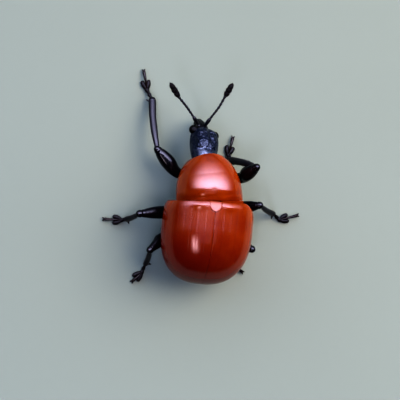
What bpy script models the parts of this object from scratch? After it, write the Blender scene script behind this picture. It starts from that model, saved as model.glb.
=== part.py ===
"""A red leaf-rolling weevil, Homoeolabus analis, as a still life-size model that stands on a flat surface.

Sizes and places are in millimetres, in the beetle's own axes: the head points to -Y, the beetle's left is
+X, up is +Z and the feet stand on z = 0. One empty turns them into metres, with the middle of the
footprint at the origin.
"""

import math
from collections import namedtuple

import bmesh
import bpy
from mathutils import Euler, Matrix, Vector

METRES_PER_MM = 0.001
GAP = 0.03

# The hind body: two wing cases over a thorax and an abdomen, all on one rounded form
CASE_FRONT_Y = -0.14
CASE_WIDEST_Y = 1.16
CASE_REAR_Y = 3.29
CASE_HALF_WIDTH = 1.83
CASE_FRONT_POWER = 5.6
CASE_TOP_FRONT_POWER = 16.0
CASE_TOP_FROM = 0.45
CASE_REAR_POWER = 2.4
CASE_SECTION_POWER = 2.25
CASE_RISE = 1.48
CASE_RISE_FRONT_Y = -0.17
CASE_RISE_MIDDLE_Y = 1.00
CASE_RISE_FRONT_POWER = 14.0
CASE_RISE_REAR_POWER = 2.15
WAIST_Z = 1.45
WAIST_REAR_DROP = 0.34
MARGIN_ANGLE = math.radians(-24)
CASE_RINGS = 20
CASE_ARC_STEPS = 14

BELLY_DEPTH = 0.98
BELLY_INSET = 0.05
BELLY_REAR_Y = 3.18
BELLY_JOINT_Y = 1.52
BELLY_SIDES = 14
ABDOMEN_DEPTH_SHARE = 0.97
THORAX_RINGS = 7
ABDOMEN_RINGS = 10
TAIL_PLATE_Y = 2.62
END_INSET = 0.02

# The upright seam between the fore body and the hind body, which are both turned a little about it
SEAM_POINT = Vector((0.0, -0.10, 0.0))
SEAM_TURN = math.radians(3.0)
HIND_TURN = math.radians(-2.0)
PRONOTUM_TURN = math.radians(8.5)

# The pronotum, a dome with a leaning front rim and a fine groove before its hind edge
PRONOTUM_POLE_Y = -2.00
PRONOTUM_WIDEST_Y = -0.20
PRONOTUM_TOP_Y = -0.50
PRONOTUM_TOP_REACH = 1.10
PRONOTUM_RIM_Y = -1.80
PRONOTUM_RIM_LEAN = 0.18
PRONOTUM_LEAN_LENGTH = 0.6
PRONOTUM_REAR_Y = 0.10
PRONOTUM_HALF_WIDTH = 1.335
PRONOTUM_RISE = 1.23
PRONOTUM_DEPTH = 0.86
PRONOTUM_SECTION_POWER = 2.15
PRONOTUM_PLAN_POWER = 2.2
PRONOTUM_TOP_POWER = 2.0
PRONOTUM_UNDER_POWER = 3.0
PRONOTUM_GROOVE_Y = -0.28
PRONOTUM_GROOVE_WIDTH = 0.075
PRONOTUM_GROOVE_DEPTH = 0.012
PRONOTUM_GROOVE_STEP = 0.06
PRONOTUM_RINGS = 9
PRONOTUM_SIDES = 32

SCUTELLUM_HALF_WIDTH = 0.24
SCUTELLUM_REAR_Y = 0.32
SCUTELLUM_THICKNESS = 0.22
SCUTELLUM_CROWN = 0.03
SCUTELLUM_POWER = 3.0
SCUTELLUM_REACH = 0.97
SCUTELLUM_RINGS = 6
SCUTELLUM_ARC_STEPS = 8
SCUTELLUM_HEADROOM = 0.2

# The head, in its own axes about the neck, with the distance forward, half width, rise and depth
NECK = (0.32, -1.70, 1.46)
HEAD_PITCH = math.radians(26)
HEAD_ROLL = math.radians(-24)
HEAD_TURN = math.radians(-1)
NECK_RADIUS = 0.46
NECK_RING_ANGLES = (math.radians(60), math.radians(30))
HEAD_STATIONS = (
    (0.00, 0.460, 0.46, 0.46),
    (0.35, 0.550, 0.51, 0.49),
    (0.75, 0.585, 0.54, 0.50),
    (1.06, 0.560, 0.48, 0.45),
    (1.22, 0.500, 0.39, 0.39),
    (1.31, 0.370, 0.28, 0.30),
    (1.36, 0.250, 0.20, 0.24),
)
HEAD_SIDES = 24
HEAD_SECTION_POWER = 2.2
HEAD_FRONT_BULGE = 0.05
FOREHEAD_GROOVE_DEPTH = 0.05
FOREHEAD_GROOVE_HALF_ANGLE = math.radians(20)
FOREHEAD_GROOVE_FROM = 0.62
FOREHEAD_GROOVE_FADE = 0.3

EYE_RADIUS = 0.19
EYE_PLACE = (0.505, -1.22, 0.02)

SNOUT_STATIONS = (
    (0.0, -1.30, -0.03, 0.235),
    (0.0, -1.50, -0.06, 0.220),
    (0.0, -1.68, -0.16, 0.200),
    (0.0, -1.80, -0.30, 0.215),
)
SNOUT_FLATNESS = 0.78
JAW_LENGTH = 0.13
JAW_RADIUS = 0.075
JAW_SINK = 0.10
JAW_TAPER = 0.6

# Feelers, from the top of the snout: elbows of the shaft, the club's root and its tip
FEELERS = {
    "left": (
        (0.50, -3.08, 0.84), (0.76, -3.39, 1.04), (1.13, -3.78, 1.32), (1.475, -4.11, 1.48),
        (1.93, -4.68, 1.66),
    ),
    "right": (
        (0.27, -3.02, 0.80), (0.17, -3.27, 1.00), (-0.17, -3.85, 1.36), (-0.35, -4.26, 1.50),
        (-0.62, -4.84, 1.68),
    ),
}
FEELER_STEPS = 7
FEELER_ROOT_RADIUS = 0.12
FEELER_ROOT_SHARE = 0.12
SCAPE_RADIUS = 0.15
SCAPE_SHARE = 0.3
FUNICLE_RADIUS = 0.155
FUNICLE_WAIST = 0.88
CLUB_RADIUS = 0.21
CLUB_REACH = (0.16, 0.86)
CLUB_SWELLS = (0.62, 0.95, 0.86, 1.0, 0.79, 0.80, 0.5)
JOINT_SINK = 0.02

# Legs: hip, thigh where it leaves the body, knee, ankle, root of the two-lobed pad and tip of the claws
Leg = namedtuple("Leg", "hip edge knee ankle pad claws")
LEGS = {
    "front_left": Leg(
        hip=(0.56, -0.92, 0.56), edge=(1.27, -1.16, 0.70), knee=(2.16, -2.03, 0.95),
        ankle=(2.36, -4.01, 0.22), pad=(2.585, -4.43), claws=(2.78, -5.27),
    ),
    "front_right": Leg(
        hip=(-0.32, -0.90, 0.58), edge=(-1.33, -1.08, 0.88), knee=(-1.76, -1.55, 1.92),
        ankle=(-0.95, -1.77, 0.22), pad=(-0.93, -2.00), claws=(-1.11, -2.82),
    ),
    "mid_left": Leg(
        hip=(0.66, 0.28, 0.56), edge=(1.65, 0.47, 0.68), knee=(2.77, 0.60, 1.18),
        ankle=(3.12, 0.86, 0.22), pad=(3.28, 0.91), claws=(4.11, 0.91),
    ),
    "mid_right": Leg(
        hip=(-0.66, 0.28, 0.56), edge=(-1.50, 0.12, 0.68), knee=(-2.12, -0.03, 1.28),
        ankle=(-2.94, 0.29, 0.22), pad=(-3.26, 0.52), claws=(-4.09, 0.26),
    ),
    "hind_left": Leg(
        hip=(0.62, 1.22, 0.56), edge=(1.66, 1.52, 0.70), knee=(2.25, 2.03, 1.18),
        ankle=(2.22, 2.62, 0.22), pad=(2.34, 2.98), claws=(2.77, 3.43),
    ),
    "hind_right": Leg(
        hip=(-0.62, 1.22, 0.56), edge=(-1.45, 1.50, 0.66), knee=(-1.98, 1.77, 0.95),
        ankle=(-1.22, 2.25, 0.22), pad=(-1.35, 2.42), claws=(-1.91, 2.80),
    ),
}
HIP_RADII = (0.20, 0.22, 0.25)
HIP_INWARD = 0.20
HIP_LIFT = 0.05
THIGH_ROOT_RADIUS = 0.14
THIGH_RADII = {"front": (0.22, 0.29, 0.23), "mid": (0.25, 0.235, 0.17), "hind": (0.22, 0.21, 0.16)}
THIGH_PLACES = (0.42, 0.78)
THIGH_FLATNESS = 0.9
KNEE_RADIUS = 0.15
KNEE_SINK = 0.75
SHIN_RADIUS = {"front": 0.205, "mid": 0.195, "hind": 0.19}
SHIN_BOW = {"front": 0.05, "mid": 0.03, "hind": 0.03}
SPUR_LENGTH = 0.16
SPUR_RADIUS = 0.06
SPUR_SINK = 0.6
SPUR_RAKE = 0.055
TOE_RADIUS = 0.125
TOE_HEIGHT = 0.085
TOE_ROOT_SHARE = 0.35
TOE_ROOT_DROP = 0.06
TOE_WAISTS = (0.9, 1.0, 0.8, 1.0, 0.85)
TOE_JOINT_SHARE = 0.55
TOE_SWELL_SHARE = 0.6
LOBE_LENGTH = 0.42
LOBE_SPREAD = 0.155
LOBE_RADIUS = 0.11
LOBE_WAISTS = (0.7, 1.0, 0.9)
LOBE_BULGE = 0.02
LOBE_FLATNESS = 0.85
LOBE_TIP_SHARE = 0.8
CLAW_STALK_RADIUS = 0.085
CLAW_LENGTH = 0.16
CLAW_SPREAD = 0.075
CLAW_RADIUS = 0.05

# sRGB colour, roughness and metallic value of each finish
FINISHES = {
    "red_shell": ((0.62, 0.13, 0.04), 0.22, 0.0),
    "blue_black_shell": ((0.05, 0.06, 0.10), 0.30, 0.0),
    "black_shell": ((0.03, 0.03, 0.04), 0.28, 0.0),
    "black_eye": ((0.01, 0.01, 0.01), 0.18, 0.0),
    "brown_club": ((0.10, 0.07, 0.06), 0.55, 0.0),
}


def linear(channel):
    """An sRGB channel as linear light."""
    return channel / 12.92 if channel <= 0.04045 else ((channel + 0.055) / 1.055) ** 2.4


def finish(name):
    """The named finish as a material, made once."""
    material = bpy.data.materials.get(name)
    if material is None:
        colour, roughness, metallic = FINISHES[name]
        material = bpy.data.materials.new(name)
        material.use_nodes = True
        shader = material.node_tree.nodes["Principled BSDF"]
        shader.inputs["Base Color"].default_value = (*[linear(channel) for channel in colour], 1.0)
        shader.inputs["Roughness"].default_value = roughness
        shader.inputs["Metallic"].default_value = metallic
    return material


def arch(place, power):
    """Height of a rounded arch over -1 to 1: 1 in the middle and 0 at both ends."""
    return max(0.0, 1.0 - abs(place) ** power) ** (1.0 / power)


def oval(angle, power):
    """A point on a unit oval that grows squarer as the power passes 2."""
    across, up = math.cos(angle), math.sin(angle)
    return (
        math.copysign(abs(across) ** (2.0 / power), across),
        math.copysign(abs(up) ** (2.0 / power), up),
    )


def spaced(start, end, count, lean=0.0):
    """Places from start to end, drawn closer together at the end as lean nears 1."""
    shares = [k / (count - 1) for k in range(count)]
    return [start + (end - start) * ((1 - lean) * s + lean * math.sin(s * math.pi / 2)) for s in shares]


def smooth_rows(stations, steps):
    """Rows of numbers on a curve that runs through the stations, with the given steps between two of them."""
    rows = []
    last = len(stations) - 1
    for index in range(last):
        before, here, after, beyond = (stations[min(max(index + k, 0), last)] for k in (-1, 0, 1, 2))
        for step in range(steps):
            t = step / steps
            weights = (
                -0.5 * t**3 + t**2 - 0.5 * t,
                1.5 * t**3 - 2.5 * t**2 + 1.0,
                -1.5 * t**3 + 2.0 * t**2 + 0.5 * t,
                0.5 * t**3 - 0.5 * t**2,
            )
            rows.append(tuple(
                sum(weight * row[k] for weight, row in zip(weights, (before, here, after, beyond)))
                for k in range(len(here))
            ))
    rows.append(tuple(stations[last]))
    return rows


def turned(point, angle):
    """A point turned about the upright through the seam."""
    return SEAM_POINT + Matrix.Rotation(angle, 3, "Z") @ (Vector(point) - SEAM_POINT)


def new_object(name, mesh):
    """A mesh object in the scene that holds the bmesh."""
    data = bpy.data.meshes.new(name)
    mesh.to_mesh(data)
    mesh.free()
    obj = bpy.data.objects.new(name, data)
    bpy.context.scene.collection.objects.link(obj)
    return obj


def skin(name, rings):
    """A closed skin through the rings in order; a ring of one point is a pole, any other end is flat."""
    mesh = bmesh.new()
    loops = [[mesh.verts.new(point) for point in ring] for ring in rings]
    for near, far in zip(loops, loops[1:]):
        count = max(len(near), len(far))
        for index in range(count):
            after = (index + 1) % count
            if len(near) == 1:
                corners = (near[0], far[after], far[index])
            elif len(far) == 1:
                corners = (near[index], near[after], far[0])
            else:
                corners = (near[index], near[after], far[after], far[index])
            mesh.faces.new(corners)
    for loop in (loops[0], loops[-1]):
        if len(loop) > 1:
            mesh.faces.new(loop)
    bmesh.ops.recalc_face_normals(mesh, faces=mesh.faces)
    return new_object(name, mesh)


def tube(name, rows, sides, flatness=1.0, grow=0.0, dome_steps=2):
    """A round limb along rows of (x, y, z, radius), flattened upright, with a dome on both ends."""
    path = [Vector(row[:3]) for row in rows]
    radii = [row[3] + grow for row in rows]
    ways = [
        (path[min(i + 1, len(path) - 1)] - path[max(i - 1, 0)]).normalized() for i in range(len(path))
    ]
    side = ways[0].cross(Vector((0, 0, 1)))
    if side.length < 0.2:
        side = ways[0].cross(Vector((0, 1, 0)))
    frames = []
    for centre, way, radius in zip(path, ways, radii):
        side = (side - way * side.dot(way)).normalized()
        frames.append((centre, way, side, radius))

    def ring(frame, shift=0.0, share=1.0):
        centre, way, across, radius = frame
        over = across.cross(way)
        turns = (math.tau * k / sides for k in range(sides))
        return [
            centre + way * shift + radius * share * (across * math.cos(a) + over * flatness * math.sin(a))
            for a in turns
        ]

    def dome(frame, sign):
        centre, way, _, radius = frame
        angles = [math.pi / 2 * k / (dome_steps + 1) for k in range(1, dome_steps + 1)]
        rings = [ring(frame, sign * radius * math.sin(a), math.cos(a)) for a in angles]
        return rings + [[centre + way * sign * radius]]

    rings = [*reversed(dome(frames[0], -1)), *(ring(frame) for frame in frames), *dome(frames[-1], 1)]
    return skin(name, rings)


def ball(name, centre, radii, steps=3):
    """A ball of three radii, with even facets."""
    mesh = bmesh.new()
    bmesh.ops.create_icosphere(mesh, subdivisions=steps, radius=1.0)
    place = Matrix.Translation(centre) @ Matrix.Diagonal((*radii, 1.0))
    bmesh.ops.transform(mesh, matrix=place, verts=mesh.verts)
    return new_object(name, mesh)


def largest_closed(data):
    """Leaves only the surface that holds the most space, with no loose scraps."""
    mesh = bmesh.new()
    mesh.from_mesh(data)
    left = set(mesh.verts)
    shells = []
    while left:
        shell, ahead = set(), [left.pop()]
        while ahead:
            vert = ahead.pop()
            shell.add(vert)
            linked = {edge.other_vert(vert) for edge in vert.link_edges} & left
            left -= linked
            ahead.extend(linked)
        faces = {face for vert in shell for face in vert.link_faces}
        space = abs(sum(
            loop.face.verts[0].co.dot(loop.vert.co.cross(loop.link_loop_next.vert.co))
            for face in faces for loop in face.loops
        ))
        shells.append((space, shell))
    keep = max(shells, key=lambda found: found[0])[1]
    bmesh.ops.delete(mesh, geom=[vert for vert in mesh.verts if vert not in keep], context="VERTS")
    mesh.to_mesh(data)
    mesh.free()


def combine(host, tools, operation):
    """Unites the tools with the host, or cuts them out of it, in one step, and removes them."""
    bag = bpy.data.collections.new(host.name + "_tools")
    bpy.context.scene.collection.children.link(bag)
    for tool in tools:
        tool.hide_render = True
        tool.display_type = "WIRE"
        bag.objects.link(tool)
    modifier = host.modifiers.new("combine", "BOOLEAN")
    modifier.operation = operation
    modifier.solver = "EXACT"
    modifier.operand_type = "COLLECTION"
    modifier.collection = bag
    evaluated = host.evaluated_get(bpy.context.evaluated_depsgraph_get())
    data = bpy.data.meshes.new_from_object(evaluated)
    host.modifiers.remove(modifier)
    host.data = data
    for tool in tools:
        bpy.data.objects.remove(tool)
    bpy.data.collections.remove(bag)
    largest_closed(data)
    return host


def trim(obj, point, normal):
    """Cuts away what lies past a plane on the side of its normal, and closes the cut."""
    mesh = bmesh.new()
    mesh.from_mesh(obj.data)
    cut = bmesh.ops.bisect_plane(
        mesh, geom=[*mesh.verts, *mesh.edges, *mesh.faces], plane_co=point, plane_no=normal,
        clear_outer=True, dist=1e-5,
    )
    edges = [item for item in cut["geom_cut"] if isinstance(item, bmesh.types.BMEdge)]
    bmesh.ops.holes_fill(mesh, edges=edges, sides=0)
    bmesh.ops.recalc_face_normals(mesh, faces=mesh.faces)
    mesh.to_mesh(obj.data)
    mesh.free()
    return obj


def trim_at_seam(obj, forward):
    """Cuts off what reaches past the seam forward, or backward, and leaves half a space to it."""
    normal = Matrix.Rotation(SEAM_TURN, 3, "Z") @ Vector((0, -1 if forward else 1, 0))
    return trim(obj, SEAM_POINT - normal * GAP / 2, normal)


def trim_at_floor(obj):
    """Cuts off what would reach below z = 0, which leaves flat soles on the floor."""
    return trim(obj, Vector((0, 0, 0)), Vector((0, 0, -1)))


def dress(obj, material):
    """Gives the object its finish and smooth shading with sharp edges kept."""
    obj.data.materials.clear()
    obj.data.materials.append(finish(material))
    obj.data.shade_smooth()
    obj.data.set_sharp_from_angle(angle=math.radians(40))
    return obj


def case_half_width(y, up=0.0):
    """Half width of the hind body, almost square in front, squarer still on the back, and round behind."""
    if y >= CASE_WIDEST_Y:
        return CASE_HALF_WIDTH * arch((y - CASE_WIDEST_Y) / (CASE_REAR_Y - CASE_WIDEST_Y), CASE_REAR_POWER)
    share = max(0.0, up - CASE_TOP_FROM) / (1 - CASE_TOP_FROM)
    power = CASE_FRONT_POWER + (CASE_TOP_FRONT_POWER - CASE_FRONT_POWER) * share
    return CASE_HALF_WIDTH * arch((CASE_WIDEST_Y - y) / (CASE_WIDEST_Y - CASE_FRONT_Y), power)


def case_rise(y):
    """Height of the back above the widest line."""
    front = y < CASE_RISE_MIDDLE_Y
    reach = (CASE_RISE_MIDDLE_Y - CASE_RISE_FRONT_Y) if front else (CASE_REAR_Y - CASE_RISE_MIDDLE_Y)
    power = CASE_RISE_FRONT_POWER if front else CASE_RISE_REAR_POWER
    return CASE_RISE * arch((y - CASE_RISE_MIDDLE_Y) / reach, power)


def rear_share(y):
    """How far y lies between the widest place and the rear end, from 0 to 1."""
    return max(0.0, (y - CASE_WIDEST_Y) / (CASE_REAR_Y - CASE_WIDEST_Y))


def waist_z(y):
    """Height of the widest line, which sinks towards the rear."""
    return WAIST_Z - WAIST_REAR_DROP * rear_share(y) ** 2


def hind_point(y, angle):
    """A point on the hind body's surface: angle 90 degrees is the back, 0 the widest line."""
    across, up = oval(angle, CASE_SECTION_POWER)
    height = case_rise(y) if up > 0 else BELLY_DEPTH * arch(rear_share(y), CASE_REAR_POWER)
    return Vector((case_half_width(y, up) * across, y, waist_z(y) + height * up))


def wing_case(side):
    """One wing case, solid down to its lower margin, with a fine space along the middle seam."""
    sign = 1 if side == "left" else -1
    reach = math.pi / 2 - MARGIN_ANGLE
    angles = [MARGIN_ANGLE + reach * k / CASE_ARC_STEPS for k in range(CASE_ARC_STEPS + 1)]
    rings = []
    for y in spaced(CASE_FRONT_Y + END_INSET, CASE_REAR_Y - END_INSET / 2, CASE_RINGS, 0.75):
        inner = min(GAP / 2, 0.4 * case_half_width(y))
        arc = [hind_point(y, angle) for angle in angles]
        margin_z = arc[0].z
        arc[-1].x = inner
        ring = [*arc, Vector((inner, y, margin_z))]
        rings.append([turned((sign * point.x, point.y, point.z), HIND_TURN) for point in ring])
    return trim_at_seam(skin("wing_case_" + side, rings), True)


def belly_ring(y, depth_share=1.0):
    """Ring of the under body at y: flat on top, a space below the wing cases' margin."""
    top = hind_point(y, MARGIN_ANGLE).z - GAP
    width = case_half_width(y)
    reach = -math.pi - 2 * MARGIN_ANGLE
    ring = []
    for k in range(BELLY_SIDES + 1):
        point = hind_point(y, MARGIN_ANGLE + reach * k / BELLY_SIDES)
        point.x *= max(0.0, width - BELLY_INSET) / width
        point.z = min(top, waist_z(y) + (point.z - waist_z(y)) * depth_share)
        ring.append(turned(point, HIND_TURN))
    return ring


def under_body():
    """Thorax, abdomen and tail plate below the wing cases, parted by thin upright cuts."""
    half = GAP / 2
    thorax_places = spaced(CASE_FRONT_Y + END_INSET, BELLY_JOINT_Y - half, THORAX_RINGS)
    abdomen_places = spaced(BELLY_JOINT_Y + half, TAIL_PLATE_Y - half, ABDOMEN_RINGS)
    tail_places = spaced(TAIL_PLATE_Y + half, BELLY_REAR_Y, ABDOMEN_RINGS, 0.8)
    thorax = trim_at_seam(skin("thorax_underside", [belly_ring(y) for y in thorax_places]), True)
    abdomen = skin("abdomen", [belly_ring(y, ABDOMEN_DEPTH_SHARE) for y in abdomen_places])
    tail = skin("tail_plate", [belly_ring(y, ABDOMEN_DEPTH_SHARE) for y in tail_places])
    return thorax, abdomen, tail


def pronotum_point(y, angle):
    """A point on the pronotum before it is turned."""
    ahead = max(0.0, (PRONOTUM_WIDEST_Y - y) / (PRONOTUM_WIDEST_Y - PRONOTUM_POLE_Y))
    across, up = oval(angle, PRONOTUM_SECTION_POWER)
    width = PRONOTUM_HALF_WIDTH * arch(ahead, PRONOTUM_PLAN_POWER)
    if up > 0:
        reach = (PRONOTUM_TOP_Y - PRONOTUM_POLE_Y) if y < PRONOTUM_TOP_Y else PRONOTUM_TOP_REACH
        height = PRONOTUM_RISE * arch((y - PRONOTUM_TOP_Y) / reach, PRONOTUM_TOP_POWER)
    else:
        height = PRONOTUM_DEPTH * arch(ahead, PRONOTUM_UNDER_POWER)
    off = (y - PRONOTUM_GROOVE_Y) / PRONOTUM_GROOVE_WIDTH
    keep = 1.0 - PRONOTUM_GROOVE_DEPTH * math.exp(-(off**2)) * max(0.0, up)
    return Vector((width * across * keep, y, WAIST_Z + height * up * keep))


def pronotum():
    """The dome before the wing cases."""
    groove = [PRONOTUM_GROOVE_Y + PRONOTUM_GROOVE_STEP * k for k in (-2, -1, 0, 1, 2)]
    places = [*spaced(PRONOTUM_RIM_Y, groove[0], PRONOTUM_RINGS), *groove[1:], PRONOTUM_REAR_Y]
    rings = []
    for y in places:
        lean = PRONOTUM_RIM_LEAN * max(0.0, 1 - (y - PRONOTUM_RIM_Y) / PRONOTUM_LEAN_LENGTH)
        ring = []
        for k in range(PRONOTUM_SIDES):
            angle = math.tau * k / PRONOTUM_SIDES
            point = pronotum_point(y, angle) - Vector((0, lean * math.sin(angle) * abs(math.sin(angle)), 0))
            ring.append(turned(point, PRONOTUM_TURN))
        rings.append(ring)
    return trim_at_seam(skin("pronotum", rings), False)


def scutellum(grow=0.0):
    """The small plate between the bases of the wing cases; grown, it is the cutter for its own seat."""
    front = SEAM_POINT.y + GAP / 2 - grow
    rear = SCUTELLUM_REAR_Y + grow
    headroom = SCUTELLUM_HEADROOM if grow else 0.0
    rings = []
    for y in spaced(front, rear, SCUTELLUM_RINGS, 0.8):
        share = (y - front) / (rear - front)
        width = (SCUTELLUM_HALF_WIDTH + grow) * arch(share * SCUTELLUM_REACH, SCUTELLUM_POWER)
        top = hind_point(max(y, CASE_FRONT_Y), math.pi / 2).z
        low = top - SCUTELLUM_THICKNESS - grow
        ring = []
        for k in range(SCUTELLUM_ARC_STEPS + 1):
            angle = math.pi * k / SCUTELLUM_ARC_STEPS
            crown = SCUTELLUM_CROWN * math.sin(angle) + headroom
            ring.append(Vector((width * math.cos(angle), y, top + crown)))
        ring += [Vector((-width, y, low)), Vector((width, y, low))]
        rings.append([turned(point, HIND_TURN) for point in ring])
    return skin("scutellum", rings)


HEAD_MATRIX = Matrix.Translation(NECK) @ Euler((HEAD_PITCH, HEAD_ROLL, HEAD_TURN), "YXZ").to_matrix().to_4x4()


def head_point(point):
    """A point of the head's own axes, in the beetle's."""
    return HEAD_MATRIX @ Vector(point)


def head():
    """Rounded head with a ball for its neck and a groove between two low lobes of the forehead."""
    turns = [math.tau * k / HEAD_SIDES for k in range(HEAD_SIDES)]
    rings = [[head_point((0, NECK_RADIUS, 0))]]
    for angle in NECK_RING_ANGLES:
        across, back = NECK_RADIUS * math.cos(angle), NECK_RADIUS * math.sin(angle)
        rings.append([head_point((across * math.cos(a), back, across * math.sin(a))) for a in turns])
    for ahead, half_width, rise, depth in smooth_rows(HEAD_STATIONS, 2):
        fade = min(1.0, max(0.0, (ahead - FOREHEAD_GROOVE_FROM) / FOREHEAD_GROOVE_FADE))
        ring = []
        for angle in turns:
            across, up = oval(angle, HEAD_SECTION_POWER)
            off = (angle - math.pi / 2) / FOREHEAD_GROOVE_HALF_ANGLE
            keep = 1.0 - FOREHEAD_GROOVE_DEPTH * fade * math.exp(-(off**2)) / rise
            ring.append(head_point((half_width * across, -ahead, (rise if up > 0 else depth) * up * keep)))
        rings.append(ring)
    rings.append([head_point((0, -HEAD_STATIONS[-1][0] - HEAD_FRONT_BULGE, 0))])
    return skin("head", rings)


def eye(side, grow=0.0):
    """One round eye on the side of the head."""
    x, y, z = EYE_PLACE
    place = head_point((x if side == "left" else -x, y, z))
    return ball("eye_" + side, place, (EYE_RADIUS + grow,) * 3)


def snout(grow=0.0):
    """The short thick snout, bent down and wider at its tip."""
    rows = [(*head_point(row[:3]), row[3]) for row in smooth_rows(SNOUT_STATIONS, 3)]
    return tube("snout", rows, 16, SNOUT_FLATNESS, grow)


def jaw(side):
    """One of two short jaws that close under the snout's tip."""
    sign = 1 if side == "left" else -1
    _, y, z, _ = SNOUT_STATIONS[-1]
    start = (sign * (JAW_RADIUS + GAP / 2), y, z - JAW_SINK)
    end = (sign * (JAW_RADIUS * JAW_TAPER + GAP / 2), y, z - JAW_SINK - JAW_LENGTH)
    rows = [(*head_point(start), JAW_RADIUS), (*head_point(end), JAW_RADIUS * JAW_TAPER)]
    return tube("jaw_" + side, rows, 8)


def feeler_shaft(side, grow=0.0):
    """A feeler's root, scape and beaded funicle, which end a space short of the club's root."""
    path = smooth_rows(FEELERS[side][:-1], FEELER_STEPS)
    club_root = Vector(path[-1])
    rows = []
    for index, place in enumerate(path):
        share = index / (len(path) - 1)
        if share < FEELER_ROOT_SHARE:
            radius = FEELER_ROOT_RADIUS
        elif share < SCAPE_SHARE:
            radius = SCAPE_RADIUS
        else:
            radius = FUNICLE_RADIUS * (1.0 if index % 2 else FUNICLE_WAIST)
        if (Vector(place) - club_root).length > radius + GAP + JOINT_SINK:
            rows.append((*place, radius))
    return tube("feeler_" + side, rows, 8, 1.0, grow)


def feeler_club(side):
    """Three joints that swell and narrow to the tip."""
    root, tip = Vector(FEELERS[side][-2]), Vector(FEELERS[side][-1])
    places = spaced(*CLUB_REACH, len(CLUB_SWELLS))
    rows = [(*root.lerp(tip, share), CLUB_RADIUS * swell) for share, swell in zip(places, CLUB_SWELLS)]
    return tube("club_" + side, rows, 10)


def leg_kind(leg):
    """Front, mid or hind."""
    return leg.split("_")[0]


def hip(leg, grow=0.0):
    """The low round hip under the body."""
    place = Vector(LEGS[leg].hip)
    inward = Vector((-HIP_INWARD if place.x > 0 else HIP_INWARD, 0.0, HIP_LIFT))
    return ball("hip_" + leg, place + inward, [radius + grow for radius in HIP_RADII], 2)


def thigh(leg, grow=0.0):
    """A slim root under the body, a swollen length outside it and a narrower knee."""
    place, edge, knee = (Vector(point) for point in LEGS[leg][:3])
    at_edge, full, slim = THIGH_RADII[leg_kind(leg)]
    rows = smooth_rows((
        (*place, THIGH_ROOT_RADIUS),
        (*edge, at_edge),
        (*edge.lerp(knee, THIGH_PLACES[0]), full),
        (*edge.lerp(knee, THIGH_PLACES[1]), slim),
        (*knee, KNEE_RADIUS),
    ), 2)
    return tube("thigh_" + leg, rows, 12, THIGH_FLATNESS, grow)


def outward(leg, way):
    """Level direction away from the body, square to the way that a limb runs."""
    return way.cross(Vector((0, 0, 1))).normalized() * (1 if LEGS[leg].knee[0] > 0 else -1)


def shin_rows(leg):
    """From just below the knee to the ankle, bowed a little."""
    kind = leg_kind(leg)
    knee, ankle = Vector(LEGS[leg].knee), Vector(LEGS[leg].ankle)
    way = (ankle - knee).normalized()
    start = knee + way * (KNEE_RADIUS * KNEE_SINK)
    bow = outward(leg, way) * -SHIN_BOW[kind]
    radius = SHIN_RADIUS[kind]
    return smooth_rows((
        (*start, radius * 0.85),
        (*(start.lerp(ankle, 0.33) + bow * 0.9), radius * 0.92),
        (*(start.lerp(ankle, 0.66) + bow), radius),
        (*ankle, radius),
    ), 2)


def shin_shaft(leg, grow=0.0):
    """The shin without its spur."""
    return tube("shin_" + leg, shin_rows(leg), 8, 1.0, grow)


def shin(leg):
    """The shin, with a short spur inside its lower end."""
    rows = shin_rows(leg)
    ankle = Vector(rows[-1][:3])
    way = (ankle - Vector(rows[-3][:3])).normalized()
    inward = -outward(leg, way)
    root = ankle + inward * rows[-1][3] * SPUR_SINK - way * SPUR_RAKE
    tip = root + inward * SPUR_LENGTH + way * SPUR_RAKE
    spur = tube("spur", [(*root, SPUR_RADIUS), (*tip, SPUR_RADIUS * 0.5)], 6, 1.0, 0.0, 1)
    return combine(shin_shaft(leg), [spur], "UNION")


def foot(leg, grow=0.0):
    """The toe joints, a two-lobed pad and the claws, cut flat on the floor."""
    ankle = Vector(LEGS[leg].ankle)
    pad, tip = (Vector((*place, TOE_HEIGHT)) for place in LEGS[leg][4:])
    start = ankle.lerp(pad, TOE_ROOT_SHARE)
    start.z = ankle.z - TOE_ROOT_DROP
    joint = start.lerp(pad, TOE_JOINT_SHARE)
    centres = (
        start, start.lerp(joint, TOE_SWELL_SHARE), joint, joint.lerp(pad, TOE_SWELL_SHARE), pad,
    )
    toe_rows = [(*centre, TOE_RADIUS * share) for centre, share in zip(centres, TOE_WAISTS)]
    ahead = (tip - pad).normalized()
    across = ahead.cross(Vector((0, 0, 1)))
    claw_root = tip - ahead * CLAW_LENGTH
    pieces = []
    for sign in (1, -1):
        lobe_tip = pad + ahead * LOBE_LENGTH * LOBE_TIP_SHARE + across * sign * LOBE_SPREAD
        lobe_middle = pad.lerp(lobe_tip, 0.55) + across * sign * LOBE_BULGE
        lobe_rows = [
            (*centre, LOBE_RADIUS * share) for centre, share in zip((pad, lobe_middle, lobe_tip), LOBE_WAISTS)
        ]
        pieces.append(tube("lobe", lobe_rows, 8, LOBE_FLATNESS, grow, 1))
        claw_tip = tip + across * sign * CLAW_SPREAD - ahead * CLAW_RADIUS
        claw_rows = [(*claw_root, CLAW_RADIUS), (*claw_tip, CLAW_RADIUS * 0.6)]
        pieces.append(tube("claw", claw_rows, 6, 1.0, grow, 1))
    stalk_end = claw_root + ahead * CLAW_LENGTH * 0.2
    stalk_rows = [
        (*pad, CLAW_STALK_RADIUS * 0.8), (*pad.lerp(stalk_end, 0.6), CLAW_STALK_RADIUS),
        (*stalk_end, CLAW_STALK_RADIUS),
    ]
    pieces.append(tube("stalk", stalk_rows, 8, 1.0, grow, 1))
    toes = tube("foot_" + leg, toe_rows, 8, 1.0, grow, 1)
    return trim_at_floor(combine(toes, pieces, "UNION"))


def leg_roots(*legs):
    """Hips and thighs with a space round them, to cut their sockets with."""
    return [piece(leg, GAP) for leg in legs for piece in (hip, thigh)]


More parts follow.
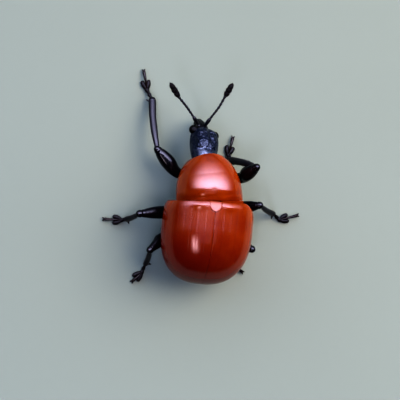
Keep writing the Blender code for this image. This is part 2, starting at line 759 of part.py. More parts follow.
def build_body():
    """The solids of the trunk and the head, each cut clear of what sits in it."""
    dome = pronotum()
    neck_ball = ball("neck_socket", NECK, (NECK_RADIUS + GAP,) * 3, 4)
    combine(dome, [neck_ball, *leg_roots("front_left", "front_right")], "DIFFERENCE")
    thorax, abdomen, tail = under_body()
    combine(thorax, leg_roots("mid_left", "mid_right", "hind_left", "hind_right"), "DIFFERENCE")
    combine(abdomen, leg_roots("hind_left", "hind_right"), "DIFFERENCE")
    skull = combine(head(), [eye("left", GAP), eye("right", GAP), snout(GAP)], "DIFFERENCE")
    beak = combine(snout(), [feeler_shaft("left", GAP), feeler_shaft("right", GAP)], "DIFFERENCE")
    for obj in (dome, abdomen, tail, scutellum()):
        dress(obj, "red_shell")
    for obj in (skull, thorax):
        dress(obj, "blue_black_shell")
    dress(beak, "black_shell")
    for side in ("left", "right"):
        dress(combine(wing_case(side), [scutellum(GAP)], "DIFFERENCE"), "red_shell")
        dress(eye(side), "black_eye")
        dress(jaw(side), "black_shell")
        dress(feeler_shaft(side), "black_shell")
        dress(feeler_club(side), "brown_club")


def build_legs():
    """Hip, thigh, shin and foot of each leg, each cut clear of the next one down."""
    for leg in LEGS:
        socket = combine(hip(leg), [thigh(leg, GAP)], "DIFFERENCE")
        upper = combine(thigh(leg), [shin_shaft(leg, GAP)], "DIFFERENCE")
        lower = combine(shin(leg), [foot(leg, GAP)], "DIFFERENCE")
        for obj in (socket, upper, lower, foot(leg)):
            dress(obj, "black_shell")


def stand_at_origin():
    """Parents every solid to one empty that turns millimetres into metres and centres the footprint."""
    solids = [obj for obj in bpy.context.scene.objects if obj.type == "MESH"]
    corners = [vertex.co for obj in solids for vertex in obj.data.vertices]
    low, high = (Vector(pick(corner[k] for corner in corners) for k in range(3)) for pick in (min, max))
    middle = (low + high) / 2
    stand = bpy.data.objects.new("weevil", None)
    bpy.context.scene.collection.objects.link(stand)
    stand.scale = (METRES_PER_MM,) * 3
    stand.location = Vector((middle.x, middle.y, low.z)) * -METRES_PER_MM
    for obj in solids:
        obj.parent = stand


def main():
    for obj in list(bpy.data.objects):
        bpy.data.objects.remove(obj)
    build_body()
    build_legs()
    stand_at_origin()


main()
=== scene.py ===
"""The looks of a red leaf-rolling weevil, Homoeolabus analis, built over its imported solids.

Shapes are made in millimetres in the beetle's own axes, as its solids are: the head points to -Y, the
beetle's left is +X and the feet stand on z = 0. The last step moves each piece into the frame, in metres.
"""

import math
from collections import namedtuple

import bmesh
import bpy
from mathutils import Euler, Matrix, Quaternion, Vector


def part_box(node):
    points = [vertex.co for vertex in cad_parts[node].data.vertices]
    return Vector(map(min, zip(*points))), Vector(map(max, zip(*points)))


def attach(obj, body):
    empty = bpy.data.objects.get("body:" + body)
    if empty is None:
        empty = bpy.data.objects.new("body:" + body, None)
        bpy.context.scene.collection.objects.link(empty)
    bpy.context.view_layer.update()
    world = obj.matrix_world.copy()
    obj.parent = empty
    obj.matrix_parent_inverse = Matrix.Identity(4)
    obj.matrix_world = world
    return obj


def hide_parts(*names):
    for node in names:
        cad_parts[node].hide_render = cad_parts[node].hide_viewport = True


bl_info = {
    "name": "Leaf-rolling weevil",
    "version": (1, 0, 0),
    "blender": (4, 5, 0),
    "location": "3D View > Sidebar > Weevil",
    "description": "Builds the shell plates, limbs, feelers and down of a red leaf-rolling weevil",
    "category": "Add Mesh",
}

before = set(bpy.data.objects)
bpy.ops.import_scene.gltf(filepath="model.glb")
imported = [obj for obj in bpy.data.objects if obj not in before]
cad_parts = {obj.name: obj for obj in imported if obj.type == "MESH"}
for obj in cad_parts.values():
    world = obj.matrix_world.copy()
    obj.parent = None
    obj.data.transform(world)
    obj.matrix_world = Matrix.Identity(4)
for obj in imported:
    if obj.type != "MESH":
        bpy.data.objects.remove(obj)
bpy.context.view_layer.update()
METRES_PER_MM = 0.001
GAP = 0.03
# The shell plates all but touch, closer than the solids do.
SEAM_HAIRLINE = 0.004
# The wing cases are carried this far past the seam before they are cut at it.
SEAM_REACH = 0.08
SHARP_EDGE = math.radians(50)
SIDES = {"left": 1, "right": -1}

# The hind body: one rounded form that the wing cases and the belly share
CASE_FRONT_Y, CASE_WIDEST_Y, CASE_REAR_Y = -0.14, 1.16, 3.29
CASE_HALF_WIDTH = 1.83
CASE_FRONT_POWER, CASE_TOP_FRONT_POWER, CASE_TOP_FROM = 5.6, 16.0, 0.45
CASE_REAR_POWER, CASE_SECTION_POWER = 2.4, 2.25
CASE_RISE = 1.48
CASE_RISE_FRONT_Y, CASE_RISE_MIDDLE_Y = -0.17, 1.00
CASE_RISE_FRONT_POWER, CASE_RISE_REAR_POWER = 14.0, 2.15
WAIST_Z, WAIST_REAR_DROP = 1.45, 0.34
MARGIN_ANGLE = math.radians(-24)
BELLY_DEPTH, BELLY_INSET, ABDOMEN_DEPTH_SHARE = 0.98, 0.05, 0.97
BELLY_JOINT_Y, TAIL_PLATE_Y, BELLY_REAR_Y = 1.52, 2.62, 3.18
END_INSET = 0.02
CASE_ROWS, CASE_COLUMNS = 180, 220
STRIA_ANGLE = math.radians(9.2)

# A raised form is its height, its middle and its width. Those of a wing case: across, in grooves from the
# seam; from its margin, in radians; and the lobe beside the small plate, with its place and length in y.
SEAM_RIDGE, SEAM_LINE = (0.003, 0.28, 0.22), (-0.006, 0.0, 0.08)
MARGIN_RIDGE, MARGIN_FURROW = (0.014, 0.0, 0.10), (-0.010, 0.22, 0.07)
CASE_LOBE, CASE_LOBE_Y, CASE_LOBE_LENGTH = (0.030, math.radians(73), 0.13), 0.12, 0.13
# The grooves start and end over these lengths.
GROOVE_START, GROOVE_END, GROOVE_WIDTH = (0.05, 0.5), (2.9, 3.2), 0.16
# The grooves of the breast, cut round it in radians; the middle one starts over the given length.
BREAST_MIDDLE_GROOVE, BREAST_MIDDLE_START = (0.03, -math.pi / 2, 0.05), (0.3, 0.7)
BREAST_SIDE_GROOVES = tuple((0.02, math.radians(angle), 0.04) for angle in (-42, -138))
BELLY_JOINTS = (1.78, 2.04, 2.27, 2.47)
BELLY_JOINT_DEPTH, BELLY_JOINT_WIDTH, BELLY_JOINT_SAG = 0.028, 0.022, 0.03
SEAM_POINT = Vector((0.0, -0.10, 0.0))
SEAM_TURN, HIND_TURN, PRONOTUM_TURN = math.radians(3.0), math.radians(-2.0), math.radians(8.5)

# The pronotum
PRONOTUM_POLE_Y, PRONOTUM_WIDEST_Y, PRONOTUM_TOP_Y = -2.00, -0.20, -0.50
PRONOTUM_TOP_REACH = 1.10
PRONOTUM_RIM_Y, PRONOTUM_RIM_LEAN, PRONOTUM_LEAN_LENGTH = -1.80, 0.18, 0.6
PRONOTUM_REAR_Y = 0.10
PRONOTUM_HALF_WIDTH, PRONOTUM_RISE, PRONOTUM_DEPTH = 1.335, 1.23, 0.86
PRONOTUM_SECTION_POWER, PRONOTUM_PLAN_POWER = 2.15, 2.2
PRONOTUM_TOP_POWER, PRONOTUM_UNDER_POWER = 2.0, 3.0
# Raised forms along y: the groove before the rear, the collar behind it and the dimple on the back; then
# the beaded front rim and the furrow behind it, from the rim on
PRONOTUM_GROOVE, PRONOTUM_COLLAR = (-0.012, -0.28, 0.075), (0.004, -0.15, 0.07)
PRONOTUM_DIMPLE, DIMPLE_WIDTH = (-0.004, -0.56, 0.10), 0.09
RIM_BEAD, RIM_FURROW = (0.008, 0.0, 0.07), (-0.004, 0.14, 0.06)
# The cup that takes the neck: shares of the rim's width, and how far each ring stands behind the rim
PRONOTUM_CUP = ((0.30, 0.62), (0.62, 0.55), (0.80, 0.40), (0.86, 0.18), (0.90, 0.05), (0.955, 0.0))
PRONOTUM_CUP_DEPTH = 0.64

SCUTELLUM_HALF_WIDTH, SCUTELLUM_REAR_Y = 0.24, 0.32
SCUTELLUM_THICKNESS, SCUTELLUM_CROWN, SCUTELLUM_POWER = 0.22, 0.03, 3.0
# It reaches a little below its solid, and its front sinks under the pronotum.
SCUTELLUM_SKIRT, SCUTELLUM_SINK, SCUTELLUM_TIP = 0.08, 0.05, 0.02

# The head, in its own axes about the neck, with the distance forward, half width, rise and depth
NECK = (0.32, -1.70, 1.46)
HEAD_ANGLES = (math.radians(26), math.radians(-24), math.radians(-1))
HEAD_MATRIX = Matrix.Translation(NECK) @ Euler(HEAD_ANGLES, "YXZ").to_matrix().to_4x4()
NECK_RADIUS = 0.46
HEAD_STATIONS = (
    (0.00, 0.460, 0.46, 0.46), (0.35, 0.550, 0.51, 0.49), (0.75, 0.585, 0.54, 0.50),
    (1.06, 0.560, 0.48, 0.45), (1.22, 0.500, 0.39, 0.39), (1.31, 0.370, 0.28, 0.30),
    (1.36, 0.250, 0.20, 0.24),
)
HEAD_SECTION_POWER = 2.2
HEAD_FRONT_BULGE = 0.05
# Raised forms of the head: the valley between its lobes and the brows over the eyes, by their angle from
# the top, where each lies ahead of the neck, and the dip behind the lobes
HEAD_VALLEY, HEAD_VALLEY_START = (-0.15, 0.0, 0.17), (0.52, 0.74)
HEAD_BROW, HEAD_BROW_AHEAD, HEAD_BROW_LENGTH = (0.05, 0.55, 0.25), 1.12, 0.16
HEAD_DIP, HEAD_LUMPS = (-0.07, 0.30, 0.11), 0.012
EYE_RADIUS, FACET_RAISE, FACET_TOP_SHARE = 0.19, 0.003, 0.82
EYE_PLACE = (0.505, -1.22, 0.02)
SNOUT_STATIONS = (
    (0.0, -1.30, -0.03, 0.235), (0.0, -1.50, -0.06, 0.220), (0.0, -1.68, -0.16, 0.200),
    (0.0, -1.80, -0.30, 0.215),
)
SNOUT_FLATNESS = 0.78
SNOUT_KEEL, SNOUT_GROOVES, SNOUT_TIP_SWELL = (0.04, 0.0, 0.16), (-0.05, 0.42, 0.18), 0.05
# A jaw from the snout's tip: out, back, down and its radius
JAW_STATIONS = (
    (0.085, 0.0, 0.08, 0.072), (0.095, 0.02, 0.16, 0.062), (0.075, 0.02, 0.22, 0.044),
    (0.035, 0.01, 0.255, 0.018),
)

# Feelers, from the top of the snout: elbows of the shaft, the club's root and its tip
FEELERS = {
    "left": (
        (0.50, -3.08, 0.84), (0.76, -3.39, 1.04), (1.13, -3.78, 1.32), (1.475, -4.11, 1.48),
        (1.93, -4.68, 1.66),
    ),
    "right": (
        (0.27, -3.02, 0.80), (0.17, -3.27, 1.00), (-0.17, -3.85, 1.36), (-0.35, -4.26, 1.50),
        (-0.62, -4.84, 1.68),
    ),
}

# The first long joint takes this share of the shaft, and the beads the rest.
SCAPE_END, BEADS = 0.30, 7
# The beads run on a little into the club, are longer than their spacing and grow towards the club.
BEADS_INTO_CLUB, BEAD_OVERLAP, LAST_BEAD_SHARE = 0.10, 1.12, 1.12
# A club of three joints: shares of its length and of its radius
CLUB_STATIONS = (
    (0.06, 0.35), (0.12, 0.66), (0.24, 0.92), (0.335, 0.90), (0.355, 0.72), (0.375, 0.80), (0.48, 1.0),
    (0.60, 0.95), (0.62, 0.74), (0.64, 0.80), (0.74, 0.90), (0.86, 0.70), (0.94, 0.42), (0.975, 0.22),
)

# Legs: hip, thigh where it leaves the body, knee, ankle, root of the two-lobed pad and tip of the claws
Leg = namedtuple("Leg", "hip edge knee ankle pad claws")
LEGS = {
    "front_left": Leg(
        (0.56, -0.92, 0.56), (1.27, -1.16, 0.70), (2.16, -2.03, 0.95), (2.36, -4.01, 0.22),
        (2.585, -4.43), (2.78, -5.27),
    ),
    "front_right": Leg(
        (-0.32, -0.90, 0.58), (-1.33, -1.08, 0.88), (-1.76, -1.55, 1.92), (-0.95, -1.77, 0.22),
        (-0.93, -2.00), (-1.11, -2.82),
    ),
    "mid_left": Leg(
        (0.66, 0.28, 0.56), (1.65, 0.47, 0.68), (2.77, 0.60, 1.18), (3.12, 0.86, 0.22),
        (3.28, 0.91), (4.11, 0.91),
    ),
    "mid_right": Leg(
        (-0.66, 0.28, 0.56), (-1.50, 0.12, 0.68), (-2.12, -0.03, 1.28), (-2.94, 0.29, 0.22),
        (-3.26, 0.52), (-4.09, 0.26),
    ),
    "hind_left": Leg(
        (0.62, 1.22, 0.56), (1.66, 1.52, 0.70), (2.25, 2.03, 1.18), (2.22, 2.62, 0.22),
        (2.34, 2.98), (2.77, 3.43),
    ),
    "hind_right": Leg(
        (-0.62, 1.22, 0.56), (-1.45, 1.50, 0.66), (-1.98, 1.77, 0.95), (-1.22, 2.25, 0.22),
        (-1.35, 2.42), (-1.91, 2.80),
    ),
}
HIP_RADII = (0.20, 0.22, 0.25)
HIP_INWARD, HIP_LIFT = 0.20, 0.05
THIGH_ROOT_RADIUS, KNEE_RADIUS = 0.14, 0.15
THIGH_RADII = {"front": (0.22, 0.29, 0.23), "mid": (0.25, 0.235, 0.17), "hind": (0.22, 0.21, 0.16)}
THIGH_PLACES = (0.42, 0.78)
THIGH_FLATNESS = 0.9
# Raised forms along a thigh: its knuckle, the narrow place before it and the middle, which is flattened
KNUCKLE, KNUCKLE_NECK, THIGH_SWELL = (0.10, 0.95, 0.05), (-0.08, 0.88, 0.04), (0.02, 0.6, 0.2)
SHIN_BOW = {"front": 0.05, "mid": 0.03, "hind": 0.03}
SHIN_END_SWELL, SHIN_SQUARENESS = (0.06, 0.97, 0.03), 0.05
TEETH_PER_MM, TOOTH_SIZE = 8, 0.035
PAD_HEIGHT, TOE_JOINT_HEIGHT, CLAW_JOINT_ARCH = 0.075, 0.10, 0.045
# A foot's two lobes from its pad and its two claws from the last joint: ahead, across, up and radius
LOBE_STATIONS = ((0.0, 0.0, 0.0, 0.060), (0.16, 0.085, -0.008, 0.088), (0.30, 0.125, -0.018, 0.080))
CLAW_STATIONS = (
    (0.0, 0.0, 0.0, 0.034), (0.055, 0.035, 0.008, 0.028), (0.10, 0.055, -0.014, 0.018),
    (0.112, 0.062, -0.048, 0.007),
)


def colour(code):
    """A linear colour from its sRGB hex value."""
    channels = [int(code[k:k + 2], 16) / 255 for k in (1, 3, 5)]
    return (*[c / 12.92 if c <= 0.04045 else ((c + 0.055) / 1.055) ** 2.4 for c in channels], 1.0)


def mm(name, description, default):
    """A length that a user can change, in millimetres."""
    return bpy.props.FloatProperty(name=name, description=description, default=default, min=0.0, precision=3)


def tint(name, description, code):
    """A colour that a user can change."""
    return bpy.props.FloatVectorProperty(
        name=name, description=description, default=colour(code), size=4, subtype="COLOR", min=0.0, max=1.0)


def lamp_power(name, description, default):
    """A lamp's power that a user can change."""
    return bpy.props.FloatProperty(name=name, description=description, default=default, unit="POWER")


class WeevilSizes(bpy.types.PropertyGroup):
    """Sizes of the fine forms that the solids leave out."""

    stria_count: bpy.props.IntProperty(
        name="Striae", description="Lengthwise rows of pits on each wing case", default=10, min=1, max=12)
    stria_depth: mm("Stria depth", "Depth of the lengthwise grooves", 0.0015)
    front_shin: mm("Front shin", "Thickness of the front shins", 0.27)
    other_shin: mm("Other shins", "Thickness of the mid and hind shins", 0.20)
    funicle: mm("Funicle", "Thickness of a feeler's beads", 0.105)
    scape: mm("Scape", "Thickness of a feeler's first long joint", 0.15)
    club: mm("Club", "Thickness of a feeler's club", 0.23)
    claw_joint: mm("Claw joint", "Thickness of the joint that carries the claws", 0.10)
    down: mm("Down", "Length of the down on the clubs", 0.045)
    bristle: mm("Bristle", "Length of the bristles on the limbs", 0.075)


class WeevilColours(bpy.types.PropertyGroup):
    """Colours of the shells and of what grows on them."""

    red: tint("Red", "Lit red of the shell", "#8A4405")
    # Deep red is the darker red of the plates' own clouds, and also painted shade in the pits and over the
    # wing cases' rear left.
    deep_red_and_shade: tint("Deep red", "Red of pits, seams and edges", "#560F01")
    blue_black: tint("Blue-black", "Head and breast", "#0C111C")
    black: tint("Black", "Legs, snout and feelers", "#050508")
    grey_bloom: tint("Grey bloom", "Dull film on shins and feelers", "#15161F")
    brown: tint("Brown", "Clubs and toes", "#0D0807")
    horn: tint("Horn", "Claws", "#180B08")
    hair: tint("Hair", "Down and bristles", "#463F3B")


class WeevilStage(bpy.types.PropertyGroup):
    """Floor, light and camera."""

    floor: tint("Floor", "Plain pale floor", "#93A6AA")
    surround: tint("Surround", "Light from all round", "#2C2C34")
    front_power: lamp_power("Front softbox", "The wide softbox before the head", 8.5)
    matt_power: lamp_power("Front fill", "The front light on matt surfaces", 3.25)
    side_power: lamp_power("Side fill", "The soft light on the beetle's right", 0.20)
    zenith_power: lamp_power("Zenith fill", "The dim soft light behind the camera", 0.012)
    streak_power: lamp_power("Streak lamp", "The lamp of the long reflection on the wing cases", 0.20)
    lens: bpy.props.FloatProperty(
        name="Lens", description="Focal length of the camera", default=180.0, unit="CAMERA")


def arch(place, power):
    """Height of a rounded arch over -1 to 1: 1 in the middle and 0 at both ends."""
    return max(0.0, 1.0 - abs(place) ** power) ** (1.0 / power)


def oval(angle, power):
    """A point on a unit oval that grows squarer as the power passes 2."""
    across, up = math.cos(angle), math.sin(angle)
    return (
        math.copysign(abs(across) ** (2.0 / power), across),
        math.copysign(abs(up) ** (2.0 / power), up),
    )


def bell(off, width):
    """A smooth bump of height 1 that fades over the width."""
    return math.exp(-((off / width) ** 2))


def raised(at, form):
    """How high a form of some height, middle and width stands at a place."""
    height, middle, width = form
    return height * bell(at - middle, width)


def circle(count):
    """Cosines and sines of evenly spaced angles."""
    return [(math.cos(math.tau * k / count), math.sin(math.tau * k / count)) for k in range(count)]


def eased(value, low, high):
    """0 below low, 1 above high and a smooth rise between."""
    share = min(1.0, max(0.0, (value - low) / (high - low)))
    return share * share * (3 - 2 * share)


def spaced(start, end, count, lean=0.0):
    """Places from start to end, drawn closer together at the end as lean nears 1."""
    shares = [k / (count - 1) for k in range(count)]
    return [start + (end - start) * ((1 - lean) * s + lean * math.sin(s * math.pi / 2)) for s in shares]


def smooth_rows(stations, steps):
    """Rows of numbers on a curve that runs through the stations, with the given steps between two of them."""
    rows = []
    last = len(stations) - 1
    for index in range(last):
        before, here, after, beyond = (stations[min(max(index + k, 0), last)] for k in (-1, 0, 1, 2))
        for step in range(steps):
            t = step / steps
            weights = (
                -0.5 * t**3 + t**2 - 0.5 * t, 1.5 * t**3 - 2.5 * t**2 + 1.0,
                -1.5 * t**3 + 2.0 * t**2 + 0.5 * t, 0.5 * t**3 - 0.5 * t**2,
            )
            rows.append(tuple(
                sum(weight * row[k] for weight, row in zip(weights, (before, here, after, beyond)))
                for k in range(len(here))
            ))
    rows.append(tuple(stations[last]))
    return rows


def turned(point, angle):
    """A point turned about the upright through the seam."""
    return SEAM_POINT + Matrix.Rotation(angle, 3, "Z") @ (Vector(point) - SEAM_POINT)


def head_point(point):
    """A point of the head's own axes, in the beetle's."""
    return HEAD_MATRIX @ Vector(point)


# From the beetle's axes to the frame: an eye's solid, which nothing cuts, shows where the origin went.
EYE_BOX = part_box("eye_left")
TO_FRAME = Matrix.Translation(
    (EYE_BOX[0] + EYE_BOX[1]) / 2 - head_point(EYE_PLACE) * METRES_PER_MM
) @ Matrix.Scale(METRES_PER_MM, 4)


def skin(rings, marks=None):
    """A closed skin through the rings, with a map of its own: the marks, or the shares round and along."""
    mesh = bmesh.new()
    lie = mesh.loops.layers.uv.new("Lie")
    loops = [[mesh.verts.new(point) for point in ring] for ring in rings]
    last = len(loops) - 1
    for row in range(last):
        near, far = loops[row], loops[row + 1]
        count = max(len(near), len(far))
        for index in range(count):
            after = (index + 1) % count
            if len(near) == 1:
                corners = ((near, 0, 0), (far, after, 1), (far, index, 1))
            elif len(far) == 1:
                corners = ((near, index, 0), (near, after, 0), (far, 0, 1))
            else:
                corners = ((near, index, 0), (near, after, 0), (far, after, 1), (far, index, 1))
            face = mesh.faces.new([loop[k] for loop, k, _ in corners])
            for corner, (loop, k, step) in zip(face.loops, corners):
                if marks:
                    corner[lie].uv = marks[row + step][k]
                else:
                    over = 1 if k == 0 and index == count - 1 else 0
                    corner[lie].uv = (k / count + over, (row + step) / last)
    for loop in (loops[0], loops[-1]):
        if len(loop) > 1:
            mesh.faces.new(loop)
    bmesh.ops.recalc_face_normals(mesh, faces=mesh.faces)
    return mesh


def limb(rows, sides, flatness=1.0, dome_steps=4, swell=None, up=(0, 0, 1)):
    """A round limb along rows of (x, y, z, radius), flattened upright, with a dome on both ends."""
    path = [Vector(row[:3]) for row in rows]
    last = len(path) - 1
    ways = [(path[min(k + 1, last)] - path[max(k - 1, 0)]).normalized() for k in range(last + 1)]
    side = ways[0].cross(Vector(up))
    if side.length < 0.2:
        side = ways[0].cross(Vector((0, 1, 0)))
    stops = []
    for index, (centre, way, row) in enumerate(zip(path, ways, rows)):
        side = (side - way * side.dot(way)).normalized()
        stops.append((centre, way, side, row[3], index / last))

    def ring(stop, shift=0.0, share=1.0):
        """The ring round a stop, moved along the limb and narrowed to a share."""
        centre, way, across, radius, along = stop
        over = across.cross(way)
        points = []
        for k in range(sides):
            angle = math.tau * k / sides
            grow = 1.0 + (swell(along, angle) if swell else 0.0)
            reach = across * math.cos(angle) + over * flatness * math.sin(angle)
            points.append(centre + way * shift + reach * radius * share * grow)
        return points

    def dome(stop, sign):
        """Rings that close one end, down to a point."""
        centre, way, _, radius, _ = stop
        angles = [math.pi / 2 * k / (dome_steps + 1) for k in range(1, dome_steps + 1)]
        rings = [ring(stop, sign * radius * math.sin(angle), math.cos(angle)) for angle in angles]
        return rings + [[centre + way * sign * radius]]

    return skin([*reversed(dome(stops[0], -1)), *(ring(stop) for stop in stops), *dome(stops[-1], 1)])


def ball(centre, radii, steps=24):
    """A ball of three radii as a closed skin."""
    middle, pole = Vector(centre), Vector((0, 0, radii[2]))
    rings = [[middle - pole]]
    for row in range(1, steps):
        low = -math.pi / 2 + math.pi * row / steps
        wide, deep, high = radii[0] * math.cos(low), radii[1] * math.cos(low), radii[2] * math.sin(low)
        rings.append([middle + Vector((wide * x, deep * y, high)) for x, y in circle(2 * steps)])
    rings.append([middle + pole])
    return skin(rings)


def joined(*parts):
    """Several closed forms in one mesh."""
    whole = bmesh.new()
    for part in parts:
        data = bpy.data.meshes.new("part")
        part.to_mesh(data)
        part.free()
        whole.from_mesh(data)
        bpy.data.meshes.remove(data)
    return whole


def trim(mesh, point, normal):
    """Cuts away what lies past a plane on the side of its normal, and closes the cut."""
    cut = bmesh.ops.bisect_plane(
        mesh, geom=[*mesh.verts, *mesh.edges, *mesh.faces], plane_co=point, plane_no=normal,
        clear_outer=True, dist=1e-5,
    )
    edges = [item for item in cut["geom_cut"] if isinstance(item, bmesh.types.BMEdge)]
    bmesh.ops.holes_fill(mesh, edges=edges, sides=0)
    bmesh.ops.recalc_face_normals(mesh, faces=mesh.faces)
    return mesh


def trim_at_seam(mesh, forward):
    """Cuts off what reaches past the seam forward, or backward, and leaves a hairline to it."""
    normal = Matrix.Rotation(SEAM_TURN, 3, "Z") @ Vector((0, -1 if forward else 1, 0))
    return trim(mesh, SEAM_POINT - normal * SEAM_HAIRLINE, normal)


def as_data(mesh, material=None):
    """The mesh as Blender keeps it, smooth and dressed."""
    data = bpy.data.meshes.new("shape")
    mesh.to_mesh(data)
    mesh.free()
    if material:
        data.materials.append(material)
    data.shade_smooth()
    return data


def loose(name, data):
    """A passing object in the scene that holds the mesh."""
    obj = bpy.data.objects.new(name, data)
    bpy.context.scene.collection.objects.link(obj)
    return obj


def add_piece(name, data, slot, *nodes):
    """Moves a mesh into the frame as a finished piece that stands for the nodes."""
    if not data.polygons:
        raise RuntimeError(f"{name} came out empty")
    data.transform(TO_FRAME)
    data.name = name
    piece = loose(name, data)
    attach(piece, "root")
    if nodes:
        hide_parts(*nodes)
    return piece


def fill(tree, node, inputs):
    """Gives each named input a value, or links it to a socket or to another node's first output."""
    for key, value in inputs.items():
        if isinstance(value, bpy.types.Node):
            value = value.outputs[0]
        if isinstance(value, bpy.types.NodeSocket):
            tree.links.new(value, node.inputs[key])
        else:
            node.inputs[key].default_value = value


def add(tree, kind, inputs=None, **settings):
    """Adds a node with its settings and its inputs."""
    made = tree.nodes.new(kind)
    for name, value in settings.items():
        setattr(made, name, value)
    fill(tree, made, inputs or {})
    return made


def new_tree(name, sockets):
    """A Geometry Nodes tree with a geometry in and out and the named inputs, and its input node."""
    tree = bpy.data.node_groups.new(name, "GeometryNodeTree")
    tree.interface.new_socket("Geometry", in_out="INPUT", socket_type="NodeSocketGeometry")
    for title, kind in sockets:
        tree.interface.new_socket(title, in_out="INPUT", socket_type="NodeSocket" + kind)
    tree.interface.new_socket("Geometry", in_out="OUTPUT", socket_type="NodeSocketGeometry")
    return tree, tree.nodes.new("NodeGroupInput").outputs


def end_tree(tree, geometry, material):
    """Closes a tree: real geometry with its material."""
    real = add(tree, "GeometryNodeRealizeInstances", {"Geometry": geometry})
    dressed = add(tree, "GeometryNodeSetMaterial", {"Geometry": real, "Material": material})
    add(tree, "NodeGroupOutput", {"Geometry": dressed})
    return tree


def grown(tree, base, **values):
    """What the tree makes of the base mesh, as a plain mesh; the values go by the names of its inputs."""
    holder = loose("base", base)
    modifier = holder.modifiers.new("grow", "NODES")
    modifier.node_group = tree
    for item in tree.interface.items_tree:
        key = item.name.lower().replace(" ", "_")
        if item.in_out == "INPUT" and key in values:
            modifier[item.identifier] = values[key]
    holder.update_tag()
    evaluated = holder.evaluated_get(bpy.context.evaluated_depsgraph_get())
    data = bpy.data.meshes.new_from_object(evaluated)
    holder.modifiers.remove(modifier)
    bpy.data.objects.remove(holder)
    data.shade_smooth()
    return data


def path_tree():
    """Copies of one joint, bead or tooth along a path, aimed along it and thinning to its end."""
    tree, given = new_tree("along_path", (
        ("Joint", "Object"), ("Count", "Int"), ("Width", "Float"), ("Length", "Float"),
        ("End share", "Float"), ("Aim", "Vector"), ("Material", "Material"),
    ))
    curve = add(tree, "GeometryNodeMeshToCurve", {"Mesh": given["Geometry"]})
    even = add(tree, "GeometryNodeResampleCurve", {"Curve": curve, "Count": given["Count"]})
    part = add(tree, "GeometryNodeObjectInfo", {"Object": given["Joint"]})
    tangent = add(tree, "GeometryNodeInputTangent")
    along = add(tree, "FunctionNodeAlignRotationToVector", {"Vector": tangent}, axis="Z")
    aimed = add(tree, "FunctionNodeAlignRotationToVector", {"Rotation": along, "Vector": given["Aim"]},
                axis="X", pivot_axis="Z")
    place = add(tree, "GeometryNodeSplineParameter")
    share = add(tree, "ShaderNodeMapRange", {"Value": place, 3: 1.0, 4: given["End share"]})
    width = add(tree, "ShaderNodeMath", {0: given["Width"], 1: share}, operation="MULTIPLY")
    scale = add(tree, "ShaderNodeCombineXYZ", {0: width, 1: width, 2: given["Length"]})
    copies = add(tree, "GeometryNodeInstanceOnPoints", {
        "Points": even, "Instance": part.outputs["Geometry"], "Rotation": aimed, "Scale": scale,
    })
    return end_tree(tree, copies, given["Material"])


# Hairs grow where the skin's normal points up by less than this; past 1 they grow all over.
ANY_SLOPE = 2.0
# Hairs vary between these shares of their length, and each takes this share of its size from the skin's map.
HAIR_LENGTHS, HAIR_PATCH = (0.6, 1.15), 0.003


def hair_tree():
    """Short hairs over a skin, which lean one way; each takes its colour from one spot of the skin's map."""
    tree, given = new_tree("short_hair", (
        ("Hair", "Object"), ("Density", "Float"), ("Length", "Float"), ("Width", "Float"),
        ("Lean", "Vector"), ("Below", "Float"), ("Seed", "Int"), ("Material", "Material"),
    ))
    normal = add(tree, "GeometryNodeInputNormal")
    height = add(tree, "ShaderNodeSeparateXYZ", {0: normal})
    low = add(tree, "ShaderNodeMath", {0: height.outputs["Z"], 1: given["Below"]}, operation="LESS_THAN")
    roots = add(tree, "GeometryNodeDistributePointsOnFaces", {
        "Mesh": given["Geometry"], "Selection": low, "Density": given["Density"],
        "Seed": given["Seed"],
    })
    lie = add(tree, "GeometryNodeInputNamedAttribute", {"Name": "Lie"}, data_type="FLOAT_VECTOR")
    rooted = add(tree, "GeometryNodeCaptureAttribute", {"Geometry": roots.outputs["Points"]})
    rooted.capture_items.new("VECTOR", "Root")
    fill(tree, rooted, {"Root": lie})
    way = add(tree, "ShaderNodeVectorMath", {0: roots.outputs["Normal"], 1: given["Lean"]}, operation="ADD")
    turn = add(tree, "FunctionNodeAlignRotationToVector", {"Vector": way}, axis="Z")
    shortest, longest = HAIR_LENGTHS
    vary = add(tree, "FunctionNodeRandomValue", {2: shortest, 3: longest, "Seed": given["Seed"]})
    length = add(tree, "ShaderNodeMath", {0: given["Length"], 1: vary.outputs[1]}, operation="MULTIPLY")
    scale = add(tree, "ShaderNodeCombineXYZ", {0: given["Width"], 1: given["Width"], 2: length})
    one = add(tree, "GeometryNodeObjectInfo", {"Object": given["Hair"]})
    shape = add(tree, "GeometryNodeInputPosition")
    local = add(tree, "GeometryNodeCaptureAttribute", {"Geometry": one.outputs["Geometry"]})
    local.capture_items.new("VECTOR", "Local")
    fill(tree, local, {"Local": shape})
    copies = add(tree, "GeometryNodeInstanceOnPoints", {
        "Points": rooted, "Instance": local, "Rotation": turn, "Scale": scale,
    })
    real = add(tree, "GeometryNodeRealizeInstances", {"Geometry": copies})
    flat = add(tree, "ShaderNodeSeparateXYZ", {0: local.outputs["Local"]})
    patch = add(tree, "ShaderNodeCombineXYZ", {0: flat.outputs["X"], 1: flat.outputs["Z"]})
    small = add(tree, "ShaderNodeVectorMath", {0: patch, "Scale": HAIR_PATCH}, operation="SCALE")
    spot = add(tree, "ShaderNodeVectorMath", {0: rooted.outputs["Root"], 1: small}, operation="ADD")
    mapped = add(tree, "GeometryNodeStoreNamedAttribute", {
        "Geometry": real, "Name": "OFBake", "Value": spot,
    }, data_type="FLOAT2", domain="CORNER")
    return end_tree(tree, mapped, given["Material"])


